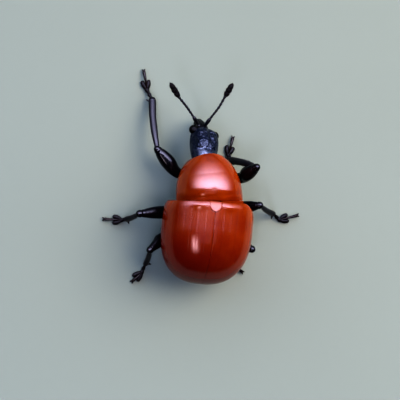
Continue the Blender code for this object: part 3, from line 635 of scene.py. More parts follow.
def facet_tree():
    """The six-sided facets of an eye, each a little raised."""
    tree, given = new_tree("eye_facets", (
        ("Radius", "Float"), ("Lift", "Float"), ("Top share", "Float"), ("Centre", "Vector"),
        ("Material", "Material"),
    ))
    globe = add(tree, "GeometryNodeMeshIcoSphere", {"Radius": given["Radius"], "Subdivisions": 4})
    cells = add(tree, "GeometryNodeDualMesh", {0: globe})
    raised = add(tree, "GeometryNodeExtrudeMesh", {
        "Mesh": cells, "Offset Scale": given["Lift"], "Individual": True,
    })
    topped = add(tree, "GeometryNodeScaleElements", {
        "Geometry": raised, "Selection": raised.outputs["Top"], "Scale": given["Top share"],
    })
    placed = add(tree, "GeometryNodeTransform", {"Geometry": topped, "Translation": given["Centre"]})
    return end_tree(tree, placed, given["Material"])


def add_shape(name, mesh, finish, slot, *nodes, hard_edges=False):
    """A mesh in the named finish as a piece that stands for the nodes."""
    data = as_data(mesh, finish_named(finish))
    if hard_edges:
        data.set_sharp_from_angle(angle=SHARP_EDGE)
    return add_piece(name, data, slot, *nodes)


def tree_named(name, build):
    """The tree of that name, built once."""
    return bpy.data.node_groups.get(name) or build()


def path_mesh(points):
    """An open line of edges through the points."""
    data = bpy.data.meshes.new("path")
    data.from_pydata([Vector(p) for p in points], [(k, k + 1) for k in range(len(points) - 1)], [])
    return data


def turned_form(outline, sides):
    """Rings of a round upright form, from its outline of radii and heights."""
    return [
        [Vector((radius * x, radius * y, z)) for x, y in circle(sides)] if radius else [Vector((0, 0, z))]
        for radius, z in outline
    ]


def unit_hair():
    """One hair of three sides, a unit long and a unit wide, that thins to its tip."""
    tip = [Vector((0.08, 0, 1.0))]
    return loose("unit_hair", as_data(skin([*turned_form(((0.5, -0.05), (0.35, 0.55)), 3), tip])))


def unit_bead():
    """One pear-shaped bead, a unit long and a unit wide."""
    outline = (
        (0.0, -0.5), (0.22, -0.47), (0.30, -0.38), (0.36, -0.2), (0.44, 0.02), (0.5, 0.2), (0.46, 0.36),
        (0.3, 0.46), (0.0, 0.5),
    )
    return loose("unit_bead", as_data(skin(turned_form(outline, 20))))


def unit_tooth():
    """One tooth that points along +X from a path along Z."""
    rings = [
        [Vector((x, share * 0.4 * y, share * 0.5 * z)) for y, z in circle(6)]
        for x, share in ((-0.6, 1.0), (0.3, 0.7), (0.8, 0.3))
    ]
    return loose("unit_tooth", as_data(skin([*rings, [Vector((1.0, 0, 0))]])))


def repeated(unit, points, **values):
    """Copies of a unit form along a line of points, as one mesh; the unit itself goes."""
    data = grown(tree_named("along_path", path_tree), path_mesh(points), joint=unit, **values)
    bpy.data.objects.remove(unit)
    return data


def add_hair(name, base, slot, **values):
    """A coat of short hairs over the base mesh, as a piece of its own."""
    hair = unit_hair()
    material = finish_named("fine_pale_hair")
    data = grown(tree_named("short_hair", hair_tree), base, hair=hair, material=material, **values)
    bpy.data.objects.remove(hair)
    return add_piece(name, data, slot)


# Finishes


def new_finish(name):
    """A named material with its node tree, and its Object coordinates in millimetres."""
    material = bpy.data.materials.new(name)
    material.use_nodes = True
    tree = material.node_tree
    spot = add(tree, "ShaderNodeTexCoord").outputs["Object"]
    return material, tree, add(tree, "ShaderNodeMapping", {"Vector": spot, "Scale": (1 / METRES_PER_MM,) * 3})


def dress(material, inputs):
    """Gives the material's shader its inputs."""
    tree = material.node_tree
    fill(tree, tree.nodes["Principled BSDF"], inputs)
    return material


def blend_colours(tree, share, low, high):
    """A mix of two colours by a share."""
    return add(tree, "ShaderNodeMix", {0: share, 6: low, 7: high}, data_type="RGBA").outputs[2]


def relief(tree, height, depth_mm, under=None):
    """A bump of that depth from a height, over another bump if given."""
    deep = depth_mm * METRES_PER_MM
    bump = add(tree, "ShaderNodeBump", {"Height": height, "Distance": deep, "Strength": 1.0})
    if under is not None:
        fill(tree, bump, {"Normal": under})
    return bump


def cloudy(tree, spot, scale, detail=3.0, roughness=0.55):
    """Soft uneven noise, with its scale in cells a millimetre."""
    return add(tree, "ShaderNodeTexNoise", {
        "Vector": spot, "Scale": scale, "Detail": detail, "Roughness": roughness,
    })


def pits(tree, spot, pitch_mm, low, high):
    """Scattered round pits a pitch apart, 0 inside and 1 between them."""
    cells = add(tree, "ShaderNodeTexVoronoi", {"Vector": spot, "Scale": 1.0 / pitch_mm, "Randomness": 0.85})
    return add(tree, "ShaderNodeMapRange", {"Value": cells, 1: low, 2: high}, interpolation_type="SMOOTHSTEP")


def wet_red(roughness, shine):
    """Red cuticle's clear hard layer, which reflects a little pink, and the light that spreads under it."""
    return {
        "Roughness": roughness, "Specular IOR Level": shine, "Specular Tint": colour("#FFE4E4"),
        "Subsurface Weight": 0.12, "Subsurface Radius": (0.3, 0.05, 0.02), "Subsurface Scale": 0.0004,
    }


# Spacing of the wing cases' rows and of the pits along a row, and the radii of a pit's floor and edge
ROW_PITCH_MM, PIT_PITCH_MM, PIT_RADII_MM = 0.24, 0.1, (0.012, 0.034)


def wing_case_red(name, colours):
    """Wet-looking red cuticle with rows of pits: a clear coat over deep orange-red, with painted shade in the
    pits and over the rear left.
    """
    material, tree, spot = new_finish(name)
    lie = add(tree, "ShaderNodeUVMap", uv_map="Lie")
    across, along = add(tree, "ShaderNodeSeparateXYZ", {0: lie}).outputs[:2]
    row = add(tree, "ShaderNodeMath", {0: across}, operation="ROUND")
    off = add(tree, "ShaderNodeMath", {0: across, 1: row}, operation="SUBTRACT")
    off_mm = add(tree, "ShaderNodeMath", {0: off, 1: ROW_PITCH_MM}, operation="MULTIPLY")
    shift = add(tree, "ShaderNodeTexWhiteNoise", {"W": row}, noise_dimensions="1D")
    beat = add(tree, "ShaderNodeMath", {0: along, 1: 1 / PIT_PITCH_MM, 2: shift}, operation="MULTIPLY_ADD")
    part = add(tree, "ShaderNodeMath", {0: beat}, operation="FRACT")
    past = add(tree, "ShaderNodeMath", {0: part, 1: 0.5}, operation="SUBTRACT")
    past_mm = add(tree, "ShaderNodeMath", {0: past, 1: PIT_PITCH_MM}, operation="MULTIPLY")
    hole = add(tree, "ShaderNodeCombineXYZ", {0: off_mm, 1: past_mm})
    far = add(tree, "ShaderNodeVectorMath", {0: hole}, operation="LENGTH").outputs["Value"]
    pit = add(tree, "ShaderNodeMapRange", {"Value": far, 1: PIT_RADII_MM[0], 2: PIT_RADII_MM[1]},
              interpolation_type="SMOOTHSTEP")
    # Painted shade: the red darkens from the front right, over the hind body, to the rear left, where less
    # light falls; depth carries this shade.
    shade_slope = add(tree, "ShaderNodeVectorMath", {0: spot, 1: (0.5, 0.85, 0.0)}, operation="DOT_PRODUCT")
    place = shade_slope.outputs["Value"]
    depth = add(tree, "ShaderNodeMapRange", {"Value": place, 1: -0.8, 2: 3.6, 3: 1.5, 4: 0.0})
    share = add(tree, "ShaderNodeMath", {0: cloudy(tree, spot, 1.3, 4.0), 1: depth}, operation="MULTIPLY")
    lit = blend_colours(tree, share, colours.deep_red_and_shade, colours.red)
    # Painted shade in the pits: there the colour is mixed towards the deep red.
    faint = add(tree, "ShaderNodeMapRange", {"Value": pit, 3: 0.65, 4: 1.0})
    skin_bump = relief(tree, cloudy(tree, spot, 9.0, 3.0), 0.0016)
    dress(material, {
        **wet_red(roughness=0.16, shine=0.9),
        "Base Color": blend_colours(tree, faint, colours.deep_red_and_shade, lit),
        "Normal": relief(tree, pit, 0.0012, skin_bump),
    })
    # The edge under the pronotum is dull.
    edge = add(tree, "ShaderNodeMapRange", {"Value": along, 1: 0.08, 2: 0.34, 4: 0.9})
    return dress(material, {"Specular IOR Level": edge})


def plate_red(name, colours, pitch_mm, roughness, shine, dull_collar=False):
    """Smooth red cuticle with sparse fine punctures, painted darker as shade, which break the edges of its
    reflections.
    """
    material, tree, spot = new_finish(name)
    pit = pits(tree, spot, pitch_mm, 0.08, 0.26)
    lit = blend_colours(tree, cloudy(tree, spot, 1.6, 4.0), colours.deep_red_and_shade, colours.red)
    # Painted shade in the punctures: there the colour is mixed towards the deep red.
    faint = add(tree, "ShaderNodeMapRange", {"Value": pit, 3: 0.7, 4: 1.0})
    skin_bump = relief(tree, cloudy(tree, spot, 18.0, 2.0), 0.0005)
    dress(material, {
        **wet_red(roughness, shine),
        "Base Color": blend_colours(tree, faint, colours.deep_red_and_shade, lit),
        "Normal": relief(tree, pit, 0.0005, skin_bump),
    })
    if dull_collar:
        # The shine fades over the narrow collar at the pronotum's rear, between these places in the frame.
        back = add(tree, "ShaderNodeSeparateXYZ", {0: spot}).outputs["Y"]
        dull = add(tree, "ShaderNodeMapRange", {"Value": back, 1: 0.50, 2: 0.62, 3: shine, 4: 0.2})
        dress(material, {"Specular IOR Level": dull})
    return material


def blue_black_shell(name, colours):
    """Pitted blue-black cuticle: a metallic blue cast, lumpy and dulled by pits painted black as shade, but
    bright by the neck.
    """
    material, tree, spot = new_finish(name)
    # The neck is smooth and bright behind these places in the frame.
    back = add(tree, "ShaderNodeSeparateXYZ", {0: spot}).outputs["Y"]
    neck = add(tree, "ShaderNodeMapRange", {"Value": back, 1: -1.42, 2: -1.20},
               interpolation_type="SMOOTHSTEP")
    rough = add(tree, "ShaderNodeMath", {0: 1.0, 1: neck}, operation="SUBTRACT")
    # Real pits are about 0.03 mm apart; they are drawn at 0.06 mm so that they show.
    pit = pits(tree, spot, 0.06, 0.12, 0.42)
    cast = blend_colours(tree, cloudy(tree, spot, 3.0), colours.blue_black, colour("#0E162A"))
    uneven = add(tree, "ShaderNodeMath", {0: cloudy(tree, spot, 3.2, 2.0, 0.5), 1: 0.5}, operation="SUBTRACT")
    lump = add(tree, "ShaderNodeMath", {0: uneven, 1: rough}, operation="MULTIPLY")
    return dress(material, {
        # Painted shade: the pits are black, and the blue cast lies between them.
        "Base Color": blend_colours(tree, pit, colours.black, cast),
        "Normal": relief(tree, pit, 0.008, relief(tree, lump, 0.20)),
        "Specular IOR Level": add(tree, "ShaderNodeMapRange", {"Value": neck, 3: 0.42, 4: 1.0}),
        "Roughness": 0.16, "Specular Tint": colour("#E3EEFF"),
    })


def clouded(name, low, high, mottle, roughness, shine=0.5, bumps=()):
    """A finish of one gloss, with two colours in clouds, and bumps of a pattern, its depth and its scale."""
    material, tree, spot = new_finish(name)
    normal = None
    for pattern, depth_mm, *scale in bumps:
        normal = relief(tree, pattern(tree, spot, *scale), depth_mm, normal)
    if normal is not None:
        dress(material, {"Normal": normal})
    return dress(material, {
        "Base Color": blend_colours(tree, cloudy(tree, spot, *mottle), low, high),
        "Roughness": roughness, "Specular IOR Level": shine,
    })


def black_shell(name, colours):
    """Polished black cuticle: almost no colour of its own, small hard glints and faint wrinkles."""
    return clouded(name, colours.black, colour("#0C0D14"), (4.0,), 0.12, 0.42, (
        (cloudy, 0.004, 14.0, 3.0), (pits, 0.003, 0.08, 0.08, 0.3)))


def grey_black_shell(name, colours):
    """Black cuticle under a thin dull bloom: a soft purple-grey sheen along the shins and feelers."""
    return clouded(name, colours.black, colours.grey_bloom, (5.0,), 0.3, 0.5, (
        (cloudy, 0.004, 20.0, 3.0), (pits, 0.003, 0.06, 0.1, 0.35)))


def eye_black(name, colours):
    """Polished black facets, which break the light into fine grain."""
    return clouded(name, colour("#040406"), colours.black, (6.0,), 0.15, 0.2, ((cloudy, 0.0005, 40.0),))


def downy_brown(name, colours, roughness):
    """Dull brown-black cuticle under down: brown and black in uneven clouds, with no clear glint."""
    return clouded(name, colours.black, colours.brown, (9.0,), roughness, 0.2, (
        (pits, 0.003, 0.03, 0.1, 0.4),))


def claw_horn(name, colours):
    """Dark horn: red-brown in faint clouds, a little clear, with a soft glint."""
    return clouded(name, colour("#0A0505"), colours.horn, (8.0,), 0.25, 0.3, ((cloudy, 0.001, 40.0),))


def pale_hair(name, colours):
    """Fine pale hair: a soft silvery edge where it stands against dark shell."""
    return clouded(name, colour("#2C2622"), colours.hair, (12.0,), 0.45)


def floor_card():
    """Plain pale card: matt, with a faint uneven tone."""
    base = bpy.context.scene.weevil_stage.floor
    return clouded("matt_pale_card", [c * 0.94 for c in base[:3]] + [1.0], base, (0.08, 2.0), 0.9, 0.0)


# Each finish by its name: the function that makes it, and what it needs besides the scene's colours.
# The red plates differ in the spacing of their punctures in millimetres, in roughness and in shine.
FINISHES = {
    "glossy_red_wing_case": (wing_case_red,),
    "glossy_red_plate": (plate_red, 0.07, 0.12, 0.9, True),
    "satin_red_scutellum": (plate_red, 0.05, 0.2, 0.66),
    "satin_red_belly": (plate_red, 0.09, 0.35, 0.5),
    "pitted_blue_black_shell": (blue_black_shell,),
    "glossy_black_shell": (black_shell,),
    "bloomed_grey_black_shell": (grey_black_shell,),
    "polished_black_facet": (eye_black,),
    "dull_brown_club": (downy_brown, 0.6),
    "satin_brown_toe": (downy_brown, 0.4),
    "dark_red_brown_horn": (claw_horn,),
    "fine_pale_hair": (pale_hair,),
}


def finish_named(name):
    """The finish of that name, made once from the scene's colours."""
    build, *values = FINISHES[name]
    return bpy.data.materials.get(name) or build(name, bpy.context.scene.weevil_colours, *values)


# Shells of the hind body


def case_half_width(y, up=0.0):
    """Half width of the hind body, almost square in front, squarer still on the back, and round behind."""
    if y >= CASE_WIDEST_Y:
        return CASE_HALF_WIDTH * arch((y - CASE_WIDEST_Y) / (CASE_REAR_Y - CASE_WIDEST_Y), CASE_REAR_POWER)
    share = max(0.0, up - CASE_TOP_FROM) / (1 - CASE_TOP_FROM)
    power = CASE_FRONT_POWER + (CASE_TOP_FRONT_POWER - CASE_FRONT_POWER) * share
    return CASE_HALF_WIDTH * arch((CASE_WIDEST_Y - y) / (CASE_WIDEST_Y - CASE_FRONT_Y), power)


def case_rise(y):
    """Height of the back above the widest line."""
    front = y < CASE_RISE_MIDDLE_Y
    reach = (CASE_RISE_MIDDLE_Y - CASE_RISE_FRONT_Y) if front else (CASE_REAR_Y - CASE_RISE_MIDDLE_Y)
    power = CASE_RISE_FRONT_POWER if front else CASE_RISE_REAR_POWER
    return CASE_RISE * arch((y - CASE_RISE_MIDDLE_Y) / reach, power)


def rear_share(y):
    """How far y lies between the widest place and the rear end, from 0 to 1."""
    return max(0.0, (y - CASE_WIDEST_Y) / (CASE_REAR_Y - CASE_WIDEST_Y))


def waist_z(y):
    """Height of the widest line, which sinks towards the rear."""
    return WAIST_Z - WAIST_REAR_DROP * rear_share(y) ** 2


def hind_point(y, angle, lift=0.0):
    """A point on the hind body's surface, lifted off it: angle 90 degrees is the back, 0 the widest line."""
    across, up = oval(angle, CASE_SECTION_POWER)
    height = case_rise(y) if up > 0 else BELLY_DEPTH * arch(rear_share(y), CASE_REAR_POWER)
    half = case_half_width(y, up)
    power = CASE_SECTION_POWER - 1
    out = Vector((
        math.copysign(abs(across) ** power, across) * height, 0.0, math.copysign(abs(up) ** power, up) * half,
    ))
    return Vector((half * across, y, waist_z(y) + height * up)) + out.normalized() * lift


def scutellum_half_width(y, grow=0.0):
    """Half width of the small plate at y, or of its seat."""
    share = (y - SEAM_POINT.y) / (SCUTELLUM_REAR_Y + grow - SEAM_POINT.y)
    return (SCUTELLUM_HALF_WIDTH + grow) * arch(min(1.0, max(0.0, share)), SCUTELLUM_POWER)


def case_lift(y, angle, sizes):
    """Fine relief of a wing case: grooves, the raised seam edge and margin, and the lobe by the scutellum."""
    across, up = (math.pi / 2 - angle) / STRIA_ANGLE, angle - MARGIN_ANGLE
    nearest = min(max(1, round(across)), sizes.stria_count)
    fade = eased(y, *GROOVE_START) * (1 - eased(y, *GROOVE_END))
    groove = -sizes.stria_depth * bell(across - nearest, GROOVE_WIDTH) * fade
    seam = raised(across, SEAM_RIDGE) + raised(across, SEAM_LINE)
    margin = raised(up, MARGIN_RIDGE) + raised(up, MARGIN_FURROW)
    lobe = raised(angle, CASE_LOBE) * bell(y - CASE_LOBE_Y, CASE_LOBE_LENGTH)
    return (groove + seam * fade + margin) * eased(CASE_REAR_Y - y, 0.0, 0.2) + lobe


def wing_case(side, sizes):
    """One wing case, closed down to its lower margin, with its inner edge drawn round the small plate."""
    rings, marks = [], []
    along, before = 0.0, None
    for y in spaced(CASE_FRONT_Y + END_INSET, CASE_REAR_Y - END_INSET / 2, CASE_ROWS, 0.6):
        half = case_half_width(y)
        inner = min(max(SEAM_HAIRLINE, scutellum_half_width(y, SEAM_HAIRLINE)), 0.4 * half)
        top = math.acos(min(1.0, (inner / half) ** (CASE_SECTION_POWER / 2)))
        angles = [MARGIN_ANGLE + (top - MARGIN_ANGLE) * k / CASE_COLUMNS for k in range(CASE_COLUMNS + 1)]
        arc = [hind_point(y, angle, case_lift(y, angle, sizes)) for angle in angles]
        middle = arc[CASE_COLUMNS * 2 // 3]
        along += (middle - before).length if before else 0.0
        before = middle.copy()
        arc[-1].x = inner
        ring = [*arc, Vector((inner, y, arc[0].z))]
        rings.append([turned((SIDES[side] * point.x, point.y, point.z), HIND_TURN) for point in ring])
        marks.append([((math.pi / 2 - angle) / STRIA_ANGLE, along) for angle in [*angles, MARGIN_ANGLE]])
    # The front is carried past the seam all across, so that the cut leaves no wedge beside the pronotum.
    ahead = turned((0, -SEAM_REACH, 0), HIND_TURN) - turned((0, 0, 0), HIND_TURN)
    rings.insert(0, [point + ahead for point in rings[0]])
    marks.insert(0, marks[0])
    return trim_at_seam(skin(rings, marks), True)


def scutellum():
    """The small shield between the bases of the wing cases, with a soft crown and a fine edge."""
    front = SEAM_POINT.y + GAP / 2
    rings = []
    for y in spaced(front, SCUTELLUM_REAR_Y, 28, 0.8):
        width = max(SCUTELLUM_TIP, scutellum_half_width(y) if y < SCUTELLUM_REAR_Y - 1e-6 else 0.0)
        top = hind_point(max(y, CASE_FRONT_Y), math.pi / 2).z
        low = top - SCUTELLUM_THICKNESS - SCUTELLUM_SKIRT
        sunk = SCUTELLUM_SINK * (SCUTELLUM_REAR_Y - y) / (SCUTELLUM_REAR_Y - front)
        ring = []
        for k in range(33):
            angle = math.pi * k / 32
            crown = SCUTELLUM_CROWN * math.sin(angle) ** 0.7
            ring.append(Vector((width * math.cos(angle), y, top + crown - sunk)))
        ring += [Vector((-width, y, low)), Vector((width, y, low))]
        rings.append([turned(point, HIND_TURN) for point in ring])
    return skin(rings)


def belly(start, end, rings_count, depth_share, lift):
    """A length of the under body, flat below the wing cases and shaped by its relief."""
    rings = []
    around = -math.pi - 2 * MARGIN_ANGLE
    for y in spaced(start, end, rings_count, 0.5 if end > TAIL_PLATE_Y else 0.0):
        top = hind_point(y, MARGIN_ANGLE).z - GAP
        width = case_half_width(y)
        ring = []
        for k in range(97):
            angle = MARGIN_ANGLE + around * k / 96
            point = hind_point(y, angle, -abs(lift(y, angle)) if lift else 0.0)
            point.x *= max(0.0, width - BELLY_INSET) / width
            point.z = min(top, waist_z(y) + (point.z - waist_z(y)) * depth_share)
            ring.append(turned(point, HIND_TURN))
        rings.append(ring)
    return skin(rings)


def breast_lift(y, angle):
    """Grooves of the breast: one along the middle and one along each side plate."""
    middle = raised(angle, BREAST_MIDDLE_GROOVE) * eased(y, *BREAST_MIDDLE_START)
    return middle + sum(raised(angle, groove) for groove in BREAST_SIDE_GROOVES)


def belly_lift(y, angle):
    """Cross joints of the belly's rings, deeper at the sides."""
    sag = BELLY_JOINT_SAG * math.cos(angle) ** 2
    return max(BELLY_JOINT_DEPTH * bell(y - joint - sag, BELLY_JOINT_WIDTH) for joint in BELLY_JOINTS)


# Pronotum


def pronotum_point(y, angle):
    """A point on the pronotum before it is turned."""
    ahead = max(0.0, (PRONOTUM_WIDEST_Y - y) / (PRONOTUM_WIDEST_Y - PRONOTUM_POLE_Y))
    across, up = oval(angle, PRONOTUM_SECTION_POWER)
    width = PRONOTUM_HALF_WIDTH * arch(ahead, PRONOTUM_PLAN_POWER)
    if up > 0:
        reach = (PRONOTUM_TOP_Y - PRONOTUM_POLE_Y) if y < PRONOTUM_TOP_Y else PRONOTUM_TOP_REACH
        height = PRONOTUM_RISE * arch((y - PRONOTUM_TOP_Y) / reach, PRONOTUM_TOP_POWER)
    else:
        height = PRONOTUM_DEPTH * arch(ahead, PRONOTUM_UNDER_POWER)
    dimple = raised(y, PRONOTUM_DIMPLE) * bell(width * across, DIMPLE_WIDTH)
    back = raised(y, PRONOTUM_GROOVE) + raised(y, PRONOTUM_COLLAR) + dimple
    rim = raised(y - PRONOTUM_RIM_Y, RIM_BEAD) + raised(y - PRONOTUM_RIM_Y, RIM_FURROW)
    keep = 1.0 + back * max(0.0, up) + rim
    return Vector((width * across * keep, y, WAIST_Z + height * up * keep))


def pronotum():
    """The dome before the wing cases, with a beaded front rim and a cup that takes the neck."""
    turns = [math.tau * k / 192 for k in range(192)]

    def lean(point, angle, y):
        """Tips the rim forward above and below, and turns the point with the pronotum."""
        fade = PRONOTUM_RIM_LEAN * max(0.0, 1 - (y - PRONOTUM_RIM_Y) / PRONOTUM_LEAN_LENGTH)
        return turned(point - Vector((0, fade * math.sin(angle) * abs(math.sin(angle)), 0)), PRONOTUM_TURN)

    rings = [[turned((0, PRONOTUM_RIM_Y + PRONOTUM_CUP_DEPTH, WAIST_Z), PRONOTUM_TURN)]]
    for share, inward in PRONOTUM_CUP:
        ring = []
        for angle in turns:
            edge = pronotum_point(PRONOTUM_RIM_Y, angle)
            flat = Vector((edge.x * share, edge.y + inward, WAIST_Z + (edge.z - WAIST_Z) * share))
            ring.append(lean(flat, angle, PRONOTUM_RIM_Y))
        rings.append(ring)
    for y in spaced(PRONOTUM_RIM_Y, PRONOTUM_REAR_Y, 130):
        rings.append([lean(pronotum_point(y, angle), angle, y) for angle in turns])
    return trim_at_seam(skin(rings), False)


# Head


def head():
    """Rounded head with a ball for its neck, a valley between two low lobes, and brows over the eyes."""
    turns = [math.tau * k / 128 for k in range(128)]
    rings = [[head_point((0, NECK_RADIUS, 0))]]
    for step in range(1, 12):
        angle = math.pi / 2 * (1 - step / 12)
        across, back = NECK_RADIUS * math.cos(angle), NECK_RADIUS * math.sin(angle)
        rings.append([head_point((across * math.cos(a), back, across * math.sin(a))) for a in turns])
    rows = smooth_rows(HEAD_STATIONS, 12)
    front, *sizes = rows[-1]
    for step in range(1, 6):
        angle = math.pi / 2 * step / 6
        rows.append((front + HEAD_FRONT_BULGE * math.sin(angle), *(size * math.cos(angle) for size in sizes)))
    for ahead, half_width, rise, depth in rows:
        valley = eased(ahead, *HEAD_VALLEY_START)
        brow = bell(ahead - HEAD_BROW_AHEAD, HEAD_BROW_LENGTH)
        ring = []
        for angle in turns:
            across, up = oval(angle, HEAD_SECTION_POWER)
            off = angle - math.pi / 2
            lumps = HEAD_LUMPS * math.sin(9.0 * angle + 7.0 * ahead) * math.sin(11.0 * ahead + 2.0 * angle)
            keep = 1.0 + valley * raised(off, HEAD_VALLEY) + raised(abs(off), HEAD_BROW) * brow
            keep += (raised(ahead, HEAD_DIP) + lumps) * max(0.0, up)
            height = rise if up > 0 else depth
            ring.append(head_point((half_width * across * keep, -ahead, height * up * keep)))
        rings.append(ring)
    rings.append([head_point((0, -HEAD_STATIONS[-1][0] - HEAD_FRONT_BULGE, 0))])
    return skin(rings)


def head_rows(stations, steps):
    """Smooth rows of a limb that is given in the head's own axes."""
    return [(*head_point(row[:3]), row[3]) for row in smooth_rows(stations, steps)]


def snout():
    """The short thick snout, with a low keel between two grooves for the feelers."""
    def swell(along, angle):
        """The keel and the grooves, and the wider tip."""
        off = angle - math.pi / 2
        grooves = raised(abs(off), SNOUT_GROOVES) * bell(along - 0.55, 0.35)
        return raised(off, SNOUT_KEEL) + grooves + SNOUT_TIP_SWELL * eased(along, 0.8, 1.0)

    up = head_point((0, 0, 1)) - head_point((0, 0, 0))
    return limb(head_rows(SNOUT_STATIONS, 12), 64, SNOUT_FLATNESS, 8, swell, up)


def jaw(side):
    """One of two short jaws that close under the snout's tip, hooked inward."""
    _, y, z, _ = SNOUT_STATIONS[-1]
    stations = [(SIDES[side] * out, y - back, z - down, radius) for out, back, down, radius in JAW_STATIONS]
    return limb(head_rows(stations, 5), 20, 0.8)


# Feelers


def lengthwise(points, start, end):
    """The stretch of a line of points between two shares of its length, and the length of the whole line."""
    points = [Vector(point) for point in points]
    steps = [(b - a).length for a, b in zip(points, points[1:])]
    total = sum(steps)
    spots, walked = [], 0.0
    for index, step in enumerate(steps):
        for share in (start, end):
            reach = share * total
            if walked <= reach < walked + step or (share == 1.0 and index == len(steps) - 1):
                place = points[index].lerp(points[index + 1], min(1.0, (reach - walked) / step))
                spots.append((share, place))
        walked += step
        if start < walked / total < end:
            spots.append((walked / total, points[index + 1]))
    return [spot for _, spot in sorted(spots, key=lambda found: found[0])], total


def feeler_path(side):
    """The middle line of a feeler's shaft up to the club's root."""
    return [Vector(row) for row in smooth_rows(FEELERS[side][:-1], 12)]


def club_ends(side):
    """Root and tip of a feeler's club."""
    return [Vector(point) for point in FEELERS[side][-2:]]


def feeler_shaft(side, sizes):
    """The socket and the long first joint, which swells towards its narrow end; the beads follow it."""
    points, _ = lengthwise(feeler_path(side), 0.0, SCAPE_END)
    radius = sizes.scape / 2
    rows = []
    for index, point in enumerate(points):
        share = index / (len(points) - 1)
        swell = 0.62 + 0.38 * eased(share, 0.15, 0.8) - 0.25 * eased(share, 0.9, 1.0)
        rows.append((*point, radius * swell))
    socket = ball(points[0], (radius * 1.05,) * 3, 12)
    return joined(limb(rows, 24), socket)


def feeler_beads(side, sizes, material):
    """Seven pear-shaped beads between the first joint and the club, by Geometry Nodes."""
    root, tip = club_ends(side)
    whole = [*feeler_path(side), root.lerp(tip, BEADS_INTO_CLUB)]
    points, total = lengthwise(whole, SCAPE_END, 1.0)
    points, _ = lengthwise(points, 0.5 / BEADS, 1 - 0.5 / BEADS)
    length = total * (1 - SCAPE_END) / BEADS * BEAD_OVERLAP
    return repeated(unit_bead(), points, count=BEADS, width=sizes.funicle, length=length,
                    end_share=LAST_BEAD_SHARE, aim=(0, 0, 1), material=material)


def feeler_club(side, sizes):
    """Three joints with narrow waists between them, the last one pointed."""
    root, tip = club_ends(side)
    rows = smooth_rows(CLUB_STATIONS, 4)
    return limb([(*root.lerp(tip, share), sizes.club / 2 * swell) for share, swell in rows], 32, 0.9)


# Legs


def leg_kind(leg):
    """Front, mid or hind."""
    return leg.split("_")[0]


def outward(leg, way):
    """Level direction away from the body, square to the way that a limb runs."""
    return way.cross(Vector((0, 0, 1))).normalized() * (1 if LEGS[leg].knee[0] > 0 else -1)


def hip(leg):
    """The low round hip under the body."""
    place = Vector(LEGS[leg].hip)
    inward = Vector((-HIP_INWARD if place.x > 0 else HIP_INWARD, 0.0, HIP_LIFT))
    return ball(place + inward, HIP_RADII, 24)


def thigh(leg):
    """A slim root, a swollen length outside the body and a knee with a cleft for the shin."""
    place, edge, knee = (Vector(point) for point in LEGS[leg][:3])
    at_edge, full, slim = THIGH_RADII[leg_kind(leg)]
    rows = smooth_rows((
        (*place, THIGH_ROOT_RADIUS), (*edge, at_edge), (*edge.lerp(knee, THIGH_PLACES[0]), full),
        (*edge.lerp(knee, THIGH_PLACES[1]), slim), (*knee, KNEE_RADIUS * 0.92),
    ), 14)

    def swell(along, angle):
        """The knuckle of the knee, and a thigh that is wider than high in the middle."""
        knuckle = raised(along, KNUCKLE) + raised(along, KNUCKLE_NECK)
        return knuckle + math.cos(2 * angle) * raised(along, THIGH_SWELL)

    return limb(rows, 48, THIGH_FLATNESS, 8, swell)


def shin_line(leg, sizes):
    """A shin's knee, ankle, way, bow, way to the inside and radius."""
    kind = leg_kind(leg)
    knee, ankle = Vector(LEGS[leg].knee), Vector(LEGS[leg].ankle)
    way = (ankle - knee).normalized()
    inward = -outward(leg, way)
    radius = (sizes.front_shin if kind == "front" else sizes.other_shin) / 2
    return knee, ankle, way, inward * SHIN_BOW[kind], inward, radius


def shin(leg, sizes):
    """A slender shin, bent and narrow at the knee, wider at the ankle, with a spur inside its end."""
    knee, ankle, way, bow, inward, radius = shin_line(leg, sizes)
    rows = [
        (*knee, radius * 0.66),
        (*(knee + way * KNEE_RADIUS), radius * 0.70),
        (*(knee.lerp(ankle, 0.30) + bow * 0.7), radius * 0.92),
        (*(knee.lerp(ankle, 0.62) + bow), radius),
        (*(knee.lerp(ankle, 0.90) + bow * 0.3), radius * 1.08),
        (*ankle, radius),
    ]

    def swell(along, angle):
        """A slightly flattened shin with a rim at its end."""
        return SHIN_SQUARENESS * math.cos(2 * angle) + raised(along, SHIN_END_SWELL)

    root = ankle + inward * radius * 0.7 - way * 0.03
    spur = [
        (*(root + inward * out + way * on), thick)
        for out, on, thick in ((0.0, 0.0, 0.050), (0.08, 0.02, 0.036), (0.15, 0.06, 0.014))
    ]
    return joined(limb(smooth_rows(rows, 12), 32, 0.94, 6, swell), limb(smooth_rows(spur, 5), 16))


def shin_teeth(leg, sizes, material):
    """A row of small teeth along the inside of a shin, by Geometry Nodes."""
    knee, ankle, _, bow, inward, radius = shin_line(leg, sizes)
    places = [knee.lerp(ankle, share) + bow * math.sin(share * math.pi) + inward * radius * 0.93
              for share in (0.32, 0.5, 0.7, 0.88)]
    return repeated(unit_tooth(), places, count=int((ankle - knee).length * TEETH_PER_MM), width=TOOTH_SIZE,
                    length=TOOTH_SIZE, end_share=1.1, aim=inward, material=material)


def foot_line(leg):
    """Places along a foot: its root, first joint, pad, tip, and the ways ahead and across."""
    ankle = Vector(LEGS[leg].ankle)
    pad, tip = (Vector((*place, PAD_HEIGHT)) for place in LEGS[leg][4:])
    start, joint = ankle.lerp(pad, 0.10), ankle.lerp(pad, 0.62)
    joint.z = TOE_JOINT_HEIGHT
    ahead = (tip - pad).normalized()
    return start, joint, pad, tip, ahead, ahead.cross(Vector((0, 0, 1)))


def forked(root, ahead, across, stations, steps):
    """Smooth rows of two like forms that part from a root, by their distances ahead, across and up."""
    return [
        smooth_rows([
            (*(root + ahead * far + across * sign * aside + Vector((0, 0, up))), radius)
            for far, aside, up, radius in stations
        ], steps)
        for sign in SIDES.values()
    ]


